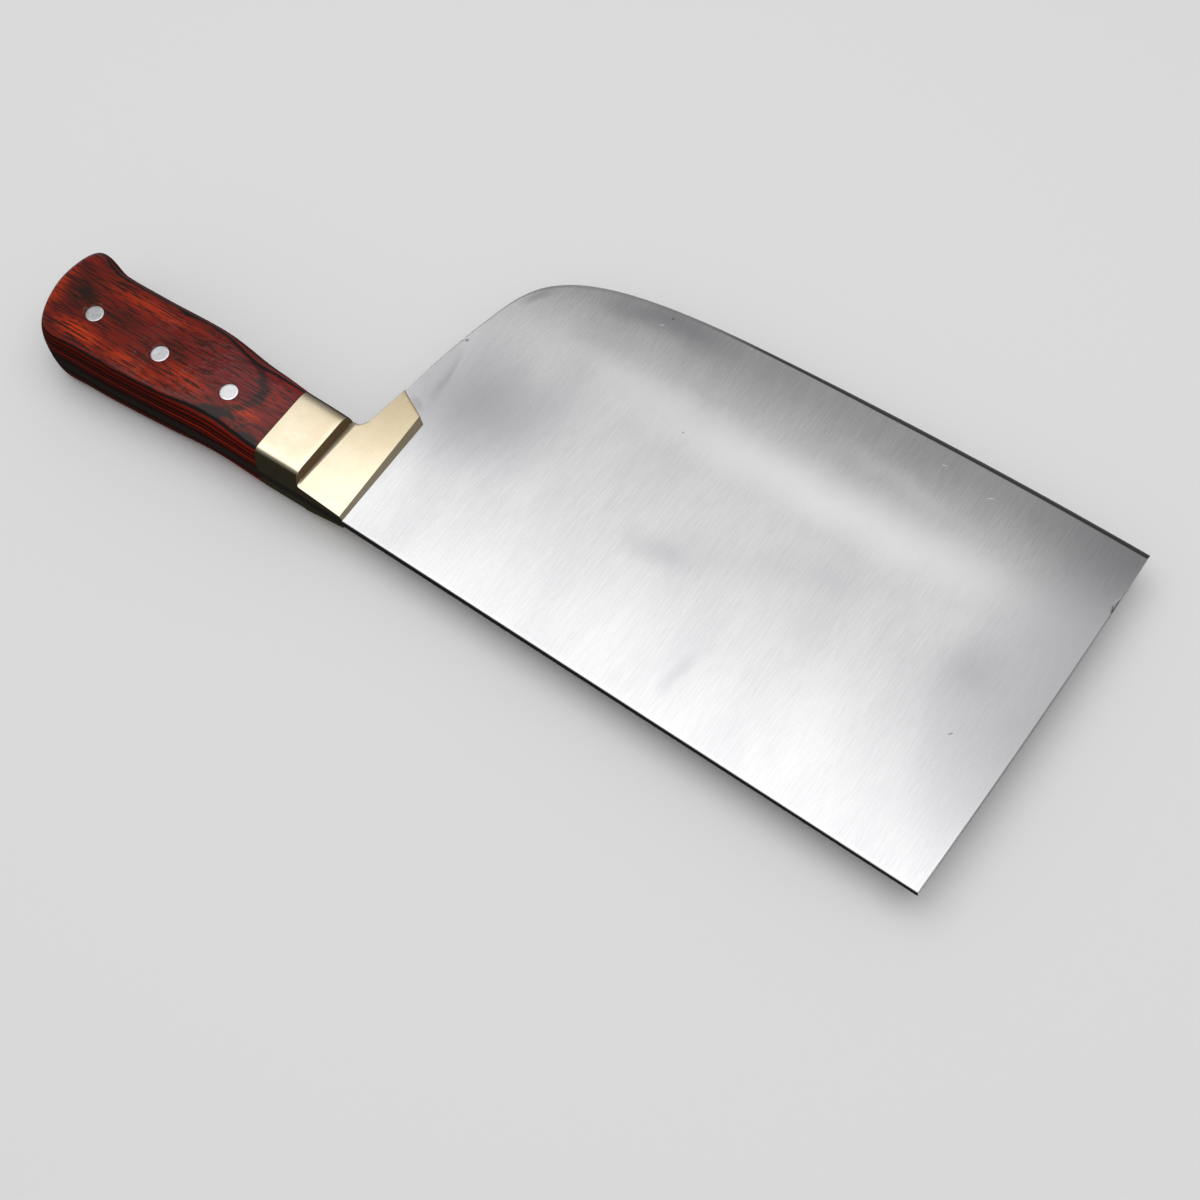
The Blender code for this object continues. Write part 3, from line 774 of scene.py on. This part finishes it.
# %% Material helpers
def finish(name, **sockets):
    """A material with plain numbers on its shader's own sockets."""
    material = bpy.data.materials.new(name)
    material.use_nodes = True
    shader = material.node_tree.nodes["Principled BSDF"]
    for socket, value in sockets.items():
        shader.inputs[socket.replace("_", " ")].default_value = value
    return material, material.node_tree, shader


def relief(tree, shader, height, depth, sockets=("Normal",)):
    """Bump of the given depth in millimetres."""
    settings = {"Strength": 1.0, "Distance": depth * MM, "Height": height}
    bumped = add(tree, "Bump", inputs=settings)
    for socket in sockets:
        tree.links.new(bumped, shader.inputs[socket])


# %% [markdown]
# ## Ground steel
# The flats are ground across the blade, so fine lines run from the spine to the edge.
# Along the lines the steel mirrors almost sharply, across them it scatters widely: that is
# anisotropy, and it needs a direction, which a flat UV map gives. Uneven grinding leaves
# soft clouds, a few deeper scratches and pits.

# %% The steel's direction
GRAIN_MAP = "grain"


def map_grain(piece):
    """UV map with u along the knife and v across it. A share of z keeps the faces on the
    spine and at the tip from having no direction."""
    mesh = piece.data
    points = np.empty(len(mesh.vertices) * 3, np.float32)
    mesh.vertices.foreach_get("co", points)
    corners = np.empty(len(mesh.loops), np.int32)
    mesh.loops.foreach_get("vertex_index", corners)
    x, y, z = points.reshape(-1, 3)[corners].T
    layer = mesh.uv_layers.new(name=GRAIN_MAP)
    layer.uv.foreach_set("vector", np.column_stack((x + z, y + 0.5 * z)).ravel())


map_grain(blade)

# %% Ground steel
GROUND = ((0.52, 0.52, 0.53), (0.62, 0.62, 0.625))

steel, tree, shader = finish("ground_steel", Anisotropic=0.9, Specular_IOR_Level=0.0)
place = knife_mm(tree)
lines = grain(tree, place, (3.0, 0.13, 1.0), 3.0, 0.65)
fine = grain(tree, place, (8.0, 0.30, 1.0), 2.0, 0.6)
clouds = grain(tree, place, (0.045, 0.022, 0.02), 3.0, 0.5, 0.3)
tone = calc(tree, "MULTIPLY_ADD", lines, 0.55, calc(tree, "MULTIPLY", clouds, 0.45))
colour = tint(tree, rising(tree, tone, 0.32, 0.68), *GROUND)

# %% Wear, clouds and a darker tip on the steel
RUBBED, DULLED, DARK = (0.72, 0.72, 0.725), (0.30, 0.30, 0.315), (0.10, 0.10, 0.10)
NICK_GLINT = (0.95, 0.95, 0.95)

worn = ragged(tree, place, (0.06, 0.03, 1.0), (9.0, 9.0, 0.0))
nicked = ragged(tree, place, (0.8, 0.8, 1.0), (1.2, 1.2, 0.0))
# Coordinates, centre, radii, angle, core, strength and colour of each mark
MARKS = (
    (worn, (150.0, 69.0), (105.0, 14.0), 0.0, 0.0, 0.90, RUBBED),
    (worn, (76.0, 99.0), (34.0, 9.0), 4.0, 0.0, 0.62, DULLED),
    (worn, (84.0, 75.0), (42.0, 8.0), 0.0, 0.0, 0.45, RUBBED),
    (worn, (168.0, 87.0), (32.0, 6.0), -4.0, 0.0, 0.45, RUBBED),
    (worn, (120.0, 27.0), (18.0, 8.0), 0.0, 0.0, 0.32, DULLED),
    (worn, (44.0, 41.0), (44.0, 34.0), 20.0, 0.0, 0.72, DULLED),
    (worn, (216.0, 42.0), (17.0, 14.0), 60.0, 0.0, 0.40, DULLED),
    (worn, (134.0, 34.0), (34.0, 12.0), 8.0, 0.0, 0.14, DULLED),
    (worn, (165.0, 46.0), (32.0, 9.0), 15.0, 0.0, 0.14, DULLED),
    (worn, (36.0, 86.5), (9.0, 3.4), 52.0, 0.0, 0.62, DULLED),
    (worn, (147.5, -3.0), (3.2, 12.0), -8.0, 0.0, 0.26, DULLED),
    (worn, (28.4, 43.6), (1.8, 15.5), 13.0, 0.0, 0.50, DULLED),
    (nicked, (27.8, 31.0), (4.5, 2.2), -30.0, 0.3, 0.45, DULLED),
    # The nicks are real; their white is a painted glint.
    (nicked, (176.6, 98.4), (1.1, 0.35), 25.0, 0.3, 0.8, NICK_GLINT),
    (nicked, (193.8, 95.3), (1.4, 0.35), 40.0, 0.3, 0.8, NICK_GLINT),
    (nicked, (75.8, 97.0), (1.2, 0.4), 30.0, 0.3, 0.9, RUBBED),
    (nicked, (77.3, 100.9), (0.7, 0.5), 0.0, 0.4, 0.9, DARK),
    (nicked, (103.8, 66.3), (0.6, 0.4), 0.0, 0.4, 0.5, DARK),
    (nicked, (26.6, 59.0), (0.9, 0.6), 50.0, 0.3, 0.7, DARK),
    (nicked, (221.1, 22.5), (0.9, 0.4), 40.0, 0.4, 0.8, DARK),
)
for vector, centre, radii, angle, core, strength, goal in MARKS:
    share = calc(tree, "MULTIPLY", patch(tree, vector, centre, radii, angle, core), strength)
    colour = tint(tree, share, colour, goal)
x, y = axes(tree, place)[:2]
# Darker towards the tip, on its edge side.
darker_tip = calc(tree, "MULTIPLY", rising(tree, x, 196.0, 240.0), 0.62)
darker_tip = calc(tree, "MULTIPLY", darker_tip, rising(tree, y, -40.0, 35.0))
colour = tint(tree, darker_tip, colour, DULLED)

# %% Bevel, with painted shade
# The bevel's near-black is painted shade standing in for the bevel facet's dark reflection; its
# inner part is darkest.
BEVEL_SHADES = ((0.05, 0.049, 0.048), (0.14, 0.132, 0.118))

facing = axes(tree, add(tree, "NewGeometry", "Normal"))
bevel_painted_shade = calc(tree, "MULTIPLY", rising(tree, facing[1], 0.07, 0.12), rising(tree, x, 80.0, 112.0))
from_belly = calc(tree, "ABSOLUTE", calc(tree, "SUBTRACT", x, BELLY_X))
from_belly = calc(tree, "POWER", from_belly, 2.0)
to_edge = calc(tree, "MULTIPLY_ADD", from_belly, -EDGE_BEND, calc(tree, "SUBTRACT", EDGE_Y, y))
bevel_shade_colour = tint(tree, rising(tree, to_edge, 0.72, 0.58), *BEVEL_SHADES)
# Painted shade: the steel darkens towards the cutting edge.
edge_painted_shade = calc(tree, "MULTIPLY", rising(tree, to_edge, 17.0, 6.0), 0.12)
colour = tint(tree, edge_painted_shade, colour, DULLED)
colour = tint(tree, calc(tree, "MULTIPLY", bevel_painted_shade, 0.92), colour, bevel_shade_colour)

# %% Painted shade on the spine and the tang
SPINE_SHADE = (0.017, 0.016, 0.015)

# Painted shade: the spine's faces, the tang and the flank under the plate's front on the spine side
# are painted near black, less metallic and rougher.
side = rising(tree, calc(tree, "ABSOLUTE", facing[2]), 0.62, 0.45)
across = rising(tree, calc(tree, "ABSOLUTE", facing[1]), 0.5, 0.7)
spine_painted_shade = calc(tree, "MAXIMUM", calc(tree, "MULTIPLY", side, across), rising(tree, x, 18.0, 16.0))
under_brass = rising(tree, x, FRONT_X, FRONT_X - 0.2)
under_brass = calc(tree, "MULTIPLY", under_brass, rising(tree, y, -9.0, -12.0))
spine_painted_shade = calc(tree, "MAXIMUM", spine_painted_shade, under_brass)
colour = tint(tree, spine_painted_shade, colour, SPINE_SHADE)
tree.links.new(colour, shader.inputs["Base Color"])
tree.links.new(calc(tree, "MULTIPLY_ADD", spine_painted_shade, -0.95, 1.0), shader.inputs["Metallic"])

# %% The steel's shine
rough = calc(tree, "MULTIPLY_ADD", calc(tree, "ADD", lines, fine), 0.07, 0.17)
rough = calc(tree, "MULTIPLY_ADD", spine_painted_shade, 0.35, rough)
tree.links.new(rough, shader.inputs["Roughness"])
direction = add(tree, "Tangent", direction_type="UV_MAP", uv_map=GRAIN_MAP)
tree.links.new(direction, shader.inputs["Tangent"])
relief(tree, shader, calc(tree, "MULTIPLY_ADD", lines, 0.7, fine), 0.007)
print(f"{steel.name}: {len(tree.nodes)} nodes")

# %% [markdown]
# ## Satin brass
# Cast and filed brass is a pale gold with a soft satin. Painted shade darkens it towards
# the finger side, on the chamfer and the step's wall, and nearly blackens the steep sides.

# %% Satin brass
GOLD = ((0.755, 0.655, 0.485), (0.80, 0.715, 0.55))
RICH_GOLD = (0.58, 0.46, 0.27)

brass, tree, shader = finish("satin_brass", Specular_IOR_Level=0.0)
place = knife_mm(tree)
x, y = axes(tree, place)[:2]
satin = grain(tree, place, (0.5, 3.2, 3.2), 4.0, 0.65)
haze = grain(tree, place, (0.10, 0.10, 0.10), 2.0)
gold = tint(tree, rising(tree, haze, 0.35, 0.65), *GOLD)
rich = calc(tree, "MULTIPLY", rising(tree, satin, 0.46, 0.74), 0.16)
gold = tint(tree, rich, gold, RICH_GOLD)

# %% Painted shade on the brass
GOLD_SHADE, CHAMFER = (0.41, 0.33, 0.205), (0.20, 0.155, 0.105)
WALL, SIDE = (0.215, 0.15, 0.09), (0.015, 0.012, 0.005)

# Painted shade: the gold darkens towards the finger side, and a little more on the plate.
painted_gold_shade = calc(tree, "MULTIPLY", rising(tree, y, -10.0, 30.0), 0.66)
plate = rising(tree, x, COLLAR_END - 0.5, COLLAR_END + 1.5)
painted_gold_shade = calc(tree, "MULTIPLY_ADD", plate, 0.12, painted_gold_shade)
gold = tint(tree, painted_gold_shade, gold, GOLD_SHADE)
facing = axes(tree, add(tree, "NewGeometry", "Normal"))
# Painted shade on the front chamfer, the faces turned towards the blade.
chamfer = calc(tree, "MULTIPLY", rising(tree, facing[0], 0.20, 0.45), rising(tree, x, 28.0, 31.0))
gold = tint(tree, calc(tree, "MULTIPLY", chamfer, 0.5), gold, CHAMFER)
# Painted shade on the step's wall, in the corner between collar and plate.
wall = calc(tree, "MULTIPLY", rising(tree, facing[0], 0.50, 1.0), rising(tree, x, 26.0, 22.0))
gold = tint(tree, wall, gold, WALL)
# Painted shade: the bolster's steep sides are painted near black and lose their metal.
steep = rising(tree, calc(tree, "ABSOLUTE", facing[1]), 0.12, 0.75)
gold = tint(tree, calc(tree, "MULTIPLY", steep, 0.98), gold, SIDE)
bare = calc(tree, "MULTIPLY_ADD", rising(tree, steep, 0.5, 1.0), -0.97, 1.0)
tree.links.new(bare, shader.inputs["Metallic"])

# %% Specks, a stain and the brass's shine
SPECK, STAIN = (0.22, 0.16, 0.08), (0.50, 0.32, 0.11)

speckled = ragged(tree, place, (0.4, 0.4, 0.4), (5.0, 5.0, 0.0))
tarnish = patch(tree, speckled, (24.0, 29.5), (6.0, 3.5), core=0.0)
specks = rising(tree, grain(tree, place, (1.6, 1.6, 1.6), 4.0, 0.7), 0.55, 0.68)
gold = tint(tree, calc(tree, "MULTIPLY", tarnish, specks), gold, SPECK)
stain = patch(tree, speckled, (28.5, 29.5), (3.0, 2.6), core=0.0)
gold = tint(tree, calc(tree, "MULTIPLY", stain, 0.6), gold, STAIN)
tree.links.new(gold, shader.inputs["Base Color"])
rough = calc(tree, "MULTIPLY_ADD", satin, 0.10, 0.21)
tree.links.new(rough, shader.inputs["Roughness"])
relief(tree, shader, satin, 0.006)
print(f"{brass.name}: {len(tree.nodes)} nodes")

# %% [markdown]
# ## Laminated wood
# Thin red and black sheets of wood are pressed into a block. On the face one sheet shows,
# with its grain, and where the shaping cuts through it the next, black one comes out as
# veins and rings. On the sides all the sheets show as stripes. So the colour depends on
# the depth under the face, and the veins have their places on the face. Lacquer, a clear
# coat over it all, gives the gloss.

# %% Places on the wood
VEIN = dict(centre=(-34.0, 1.0), radii=(23.7, 12.6), angle=5.0)
# Depth under the face, in millimetres, and how much red shows there
# Red and black sheets alternate; the red ones grow dimmer with depth, painted shade on the handle's
# sides towards the steel.
SHEETS_AND_SHADE = (
    (0.00, 1.0), (0.30, 1.0), (0.40, 0.02), (0.85, 0.02), (1.00, 0.55), (1.60, 0.35),
    (1.75, 0.04), (2.10, 0.04), (2.25, 0.45), (2.90, 0.25), (3.05, 0.03), (3.70, 0.03),
    (3.85, 0.32), (4.30, 0.20), (4.45, 0.02), (5.05, 0.02), (5.20, 1.00), (5.70, 0.85),
    (5.85, 0.04), (6.55, 0.04), (6.65, 0.50), (7.05, 0.32), (7.20, 0.02), (8.60, 0.02),
    (8.75, 0.14), (9.30, 0.08), (9.50, 0.01), (10.8, 0.01),
)
DEEPEST = 12.0
# Centre, radii and angle of each patch, and the strength of the first two kinds
EMBERS = (
    ((-75.5, -9.0), (13.5, 4.8), -2.0, 1.0),
    ((-94.0, 2.0), (5.0, 14.0), 14.0, 0.55),
    ((-54.0, -9.4), (20.0, 3.6), -2.0, 0.70),
    ((-62.0, 10.5), (28.0, 3.6), 2.0, 0.52),
    ((-11.0, -4.2), (8.0, 3.4), 0.0, 1.0),
    ((-35.0, -5.0), (14.0, 6.0), 0.0, 0.60),
    ((-6.0, 6.0), (6.0, 8.0), 0.0, 0.30),
)
SMOKE = (
    ((-83.0, 3.6), (12.0, 9.0), -14.0, 1.0),
    ((-66.0, 2.0), (14.0, 6.0), -4.0, 0.55),
    ((-46.0, 4.0), (10.0, 6.0), 0.0, 0.45),
)
BLACKS = (
    ((-20.5, -9.6), (8.5, 2.6), 14.0),
    ((-4.0, -12.2), (6.5, 3.8), -6.0),
    ((-14.0, -7.6), (3.4, 1.3), -20.0),
    ((-31.0, 15.0), (9.0, 1.0), -9.0),
)

# %% Laminated wood
RED_AND_SHEEN = ((0.165, 0.0115, 0.005), (0.175, 0.0125, 0.013))
PORES = ((0.038, 0.007, 0.0045), (0.120, 0.012, 0.004))
EMBER, SOOT = (0.52, 0.043, 0.006), (0.017, 0.0075, 0.005)

wood, tree, shader = finish(
    "laminated_wood",
    Roughness=0.6,
    Specular_IOR_Level=0.0,
    Coat_Roughness=0.09,
    Coat_IOR=1.45,
)
place = knife_mm(tree)
x, y, z = axes(tree, place)
streaks = grain(tree, place, (0.11, 1.75, 0.9), 4.0, 0.55, 0.5)
fibres = grain(tree, place, (0.40, 5.5, 3.0), 3.0, 0.6)
strand = calc(tree, "MULTIPLY_ADD", fibres, 0.25, calc(tree, "MULTIPLY", streaks, 0.80))
pores = rising(tree, strand, 0.50, 0.60)
figure = ragged(tree, place, (0.10, 0.16, 0.1), (4.0, 3.0, 0.0))
figure = ragged(tree, figure, (0.55, 1.1, 0.5), (3.2, 2.0, 0.0), 4.0)


def spots(places):
    """The greatest of several patches, each with its own strength."""
    greatest = None
    for centre, radii, angle, strength in places:
        spot = calc(tree, "MULTIPLY", patch(tree, figure, centre, radii, angle, 0.1), strength)
        greatest = spot if greatest is None else calc(tree, "MAXIMUM", greatest, spot)
    return greatest


warm = calc(tree, "MULTIPLY", spots(EMBERS), rising(tree, strand, 0.72, 0.42))
# Painted sheen: towards the joint on the finger side the red turns slightly purple, like the
# lacquer's haze.
painted_sheen = calc(tree, "MULTIPLY", rising(tree, x, -52.0, -14.0), rising(tree, y, -9.0, 4.0))
red = tint(tree, painted_sheen, *RED_AND_SHEEN)
red = tint(tree, warm, red, EMBER)
red = tint(tree, pores, red, tint(tree, warm, *PORES))
smoky = calc(tree, "MULTIPLY", spots(SMOKE), rising(tree, strand, 0.34, 0.54))
red = tint(tree, smoky, red, SOOT)

# %% Black veins
VEIN_BLACK = (0.009, 0.007, 0.0065)

around = from_middle(tree, figure, **VEIN)
around = calc(tree, "ABSOLUTE", calc(tree, "SUBTRACT", around, 1.0))
vein = calc(tree, "MULTIPLY", rising(tree, around, 0.115, 0.03), rising(tree, x, -34.0, -24.0))
vein = calc(tree, "MULTIPLY", vein, rising(tree, strand, 0.30, 0.56))
for centre, radii, angle in BLACKS:
    vein = calc(tree, "MAXIMUM", vein, patch(tree, figure, centre, radii, angle, 0.55))
arc = from_middle(tree, figure, (-3.6, -10.5), (5.6, 4.4))
arc = calc(tree, "ABSOLUTE", calc(tree, "SUBTRACT", arc, 1.0))
vein = calc(tree, "MAXIMUM", vein, calc(tree, "MULTIPLY", rising(tree, arc, 0.16, 0.05), 0.6))
red = tint(tree, calc(tree, "MULTIPLY", vein, 0.92), red, VEIN_BLACK)

# %% The stack of sheets
VIVID = ((0.17, 0.009, 0.0025), (0.31, 0.015, 0.0025))
BLACK_SHEET = (0.006, 0.0035, 0.003)
BUTT_SLOPE, JOINT_SLOPE = np.diff((CROWN_BUTT, CROWN_GRIP, CROWN_JOINT)) / -GRIP_X

ahead = calc(tree, "SUBTRACT", x, GRIP_X)
crown = calc(tree, "MULTIPLY_ADD", calc(tree, "MINIMUM", ahead, 0.0), BUTT_SLOPE, CROWN_GRIP)
crown = calc(tree, "MULTIPLY_ADD", calc(tree, "MAXIMUM", ahead, 0.0), JOINT_SLOPE, crown)
depth = calc(tree, "SUBTRACT", crown, calc(tree, "ABSOLUTE", z))
wavy = grain(tree, place, (0.10, 0.22, 0.12), 4.0, 0.6)
depth = calc(tree, "ADD", depth, calc(tree, "MULTIPLY_ADD", wavy, 0.70, -0.38))
depth = calc(tree, "ADD", depth, calc(tree, "MULTIPLY_ADD", fibres, 0.16, -0.08))
inner = calc(tree, "MULTIPLY", rising(tree, y, 9.0, 18.0), rising(tree, x, -90.0, -80.0))
depth = calc(tree, "MULTIPLY_ADD", inner, 0.38, depth)
depth = calc(tree, "MULTIPLY_ADD", rising(tree, x, -82.0, -96.0), -0.60, depth)
sheets = tree.nodes.new("ShaderNodeValToRGB")
tree.links.new(calc(tree, "DIVIDE", depth, DEEPEST), sheets.inputs[0])
stops = sheets.color_ramp.elements
for _ in SHEETS_AND_SHADE[len(stops) :]:
    stops.new(1.0)
for stop, (under, share) in zip(list(stops), SHEETS_AND_SHADE):
    stop.position, stop.color = under / DEEPEST, (share, share, share, 1.0)
vivid = tint(tree, rising(tree, x, -48.0, -14.0), *VIVID)
stripe = tint(tree, rising(tree, depth, 0.5, 0.9), red, vivid)
colour = tint(tree, sheets.outputs[0], BLACK_SHEET, stripe)
tree.links.new(colour, shader.inputs["Base Color"])

# %% Lacquer
facing = axes(tree, add(tree, "NewGeometry", "Normal"))
glossy = rising(tree, calc(tree, "ABSOLUTE", facing[2]), 0.55, 0.92)
tree.links.new(calc(tree, "MULTIPLY_ADD", glossy, 0.45, 0.03), shader.inputs["Coat Weight"])
soft = grain(tree, place, (0.25, 0.5, 0.5), 2.0)
relief(tree, shader, soft, 0.05, ("Normal", "Coat Normal"))
print(f"{wood.name}: {len(tree.nodes)} nodes")

# %% [markdown]
# ## Rivet metal
# The rivets are soft white metal, filed across the grip and lightly rubbed, so their ends
# are satin with faint marks in all directions.

# %% Rivet metal
GREYS = ((0.45, 0.45, 0.46), (0.52, 0.52, 0.53))
POLISHED, FILE_MARK = (0.80, 0.80, 0.82), (0.34, 0.34, 0.35)

rivet_metal, tree, shader = finish("rivet_metal", Metallic=1.0)
place = knife_mm(tree)
filed = grain(tree, place, (4.0, 1.2, 1.0), 4.0, 0.7, 0.8)
mottle = grain(tree, place, (0.7, 0.7, 0.1), 3.0, 0.6)
grey = tint(tree, rising(tree, mottle, 0.35, 0.65), *GREYS)
front = rising(tree, axes(tree, place)[0], -85.0, -15.0)
grey = tint(tree, calc(tree, "MULTIPLY", front, 0.5), grey, POLISHED)
scored = calc(tree, "MULTIPLY", rising(tree, filed, 0.55, 0.80), 0.35)
grey = tint(tree, scored, grey, FILE_MARK)
tree.links.new(grey, shader.inputs["Base Color"])
tree.links.new(calc(tree, "MULTIPLY_ADD", filed, 0.10, 0.20), shader.inputs["Roughness"])
relief(tree, shader, filed, 0.008)
print(f"{rivet_metal.name}: {len(tree.nodes)} nodes")

# %% Finishes on the pieces
for pieces, material in (
    ([blade], steel),
    (bolster, brass),
    (scales, wood),
    (rivets.values(), rivet_metal),
    ([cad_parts[f"bolster_pin_{side}_side"] for side in ("finger", "spine")], brass),
):
    for piece in pieces:
        piece.data.materials.clear()
        piece.data.materials.append(material)
        print(piece.name, "wears", material.name)

# %% [markdown]
# ## The studio
# A pale floor, softboxes overhead and a grey world that fills the shadows. The boxes lie one
# above the other and end one after the other, so their joint light fades step by step. The
# blade mirrors that: white at the spine, grey in the middle, dark towards the edge, and
# painted shade on the steel deepens the dark towards the edge. The camera's place and its
# three axes were worked out from the knife's outline.

# %% Floor
FLOOR_REACH = 4.0
FLOOR_GAP = 0.0002

floor_mesh = bpy.data.meshes.new("floor")
corners = FLOOR_REACH * np.array([(-1, -1, 0), (1, -1, 0), (1, 1, 0), (-1, 1, 0)])
floor_mesh.from_pydata(corners - (0.0, 0.0, FLOOR_GAP), [], [(0, 1, 2, 3)])
floor = bpy.data.objects.new("floor", floor_mesh)
bpy.context.scene.collection.objects.link(floor)
pale = finish("pale_floor", Base_Color=(0.8, 0.8, 0.8, 1.0), Roughness=0.9)[0]
floor_mesh.materials.append(pale)

# %% Light
world = bpy.data.worlds.new("studio")
bpy.context.scene.world = world
world.use_nodes = True
sky = world.node_tree.nodes["Background"]
sky.inputs["Color"].default_value = (1.0, 1.0, 1.0, 1.0)
sky.inputs["Strength"].default_value = 0.45


def softbox(name, centre, size, radiance):
    """Rectangular lamp that faces down. Its power is radiance times pi times its area."""
    lamp = bpy.data.lights.new(name, "AREA")
    lamp.shape = "RECTANGLE"
    lamp.size, lamp.size_y = size
    lamp.energy = radiance * math.pi * size[0] * size[1]
    lit = bpy.data.objects.new(name, lamp)
    lit.location = centre
    bpy.context.scene.collection.objects.link(lit)
    print(f"{name}: {lamp.energy:.2f} W")


softbox("wide_softbox", (-0.035, 0.105, 1.10), (1.57, 1.21), 0.76)
softbox("middle_softbox", (-0.035, -0.02, 1.09), (1.57, 0.96), 0.29)
softbox("near_softbox", (-0.035, -0.05, 1.08), (1.57, 0.88), 0.44)

# %% Camera
camera = bpy.data.objects.new("camera", bpy.data.cameras.new("camera"))
camera.data.lens = 54.0
camera.data.sensor_width = 36.0
right = (0.82295454, 0.56432944, -0.0654072)
up = (-0.47424405, 0.7458068, 0.46782987)
back = (0.3127913, -0.35398374, 0.88139498)
turned = Matrix(np.column_stack((right, up, back)).tolist()).to_4x4()
camera.matrix_world = Matrix.Translation((0.2081904, -0.2233082, 0.4767981)) @ turned
bpy.context.scene.collection.objects.link(camera)
bpy.context.scene.camera = camera
bpy.context.scene.view_settings.view_transform = "Standard"
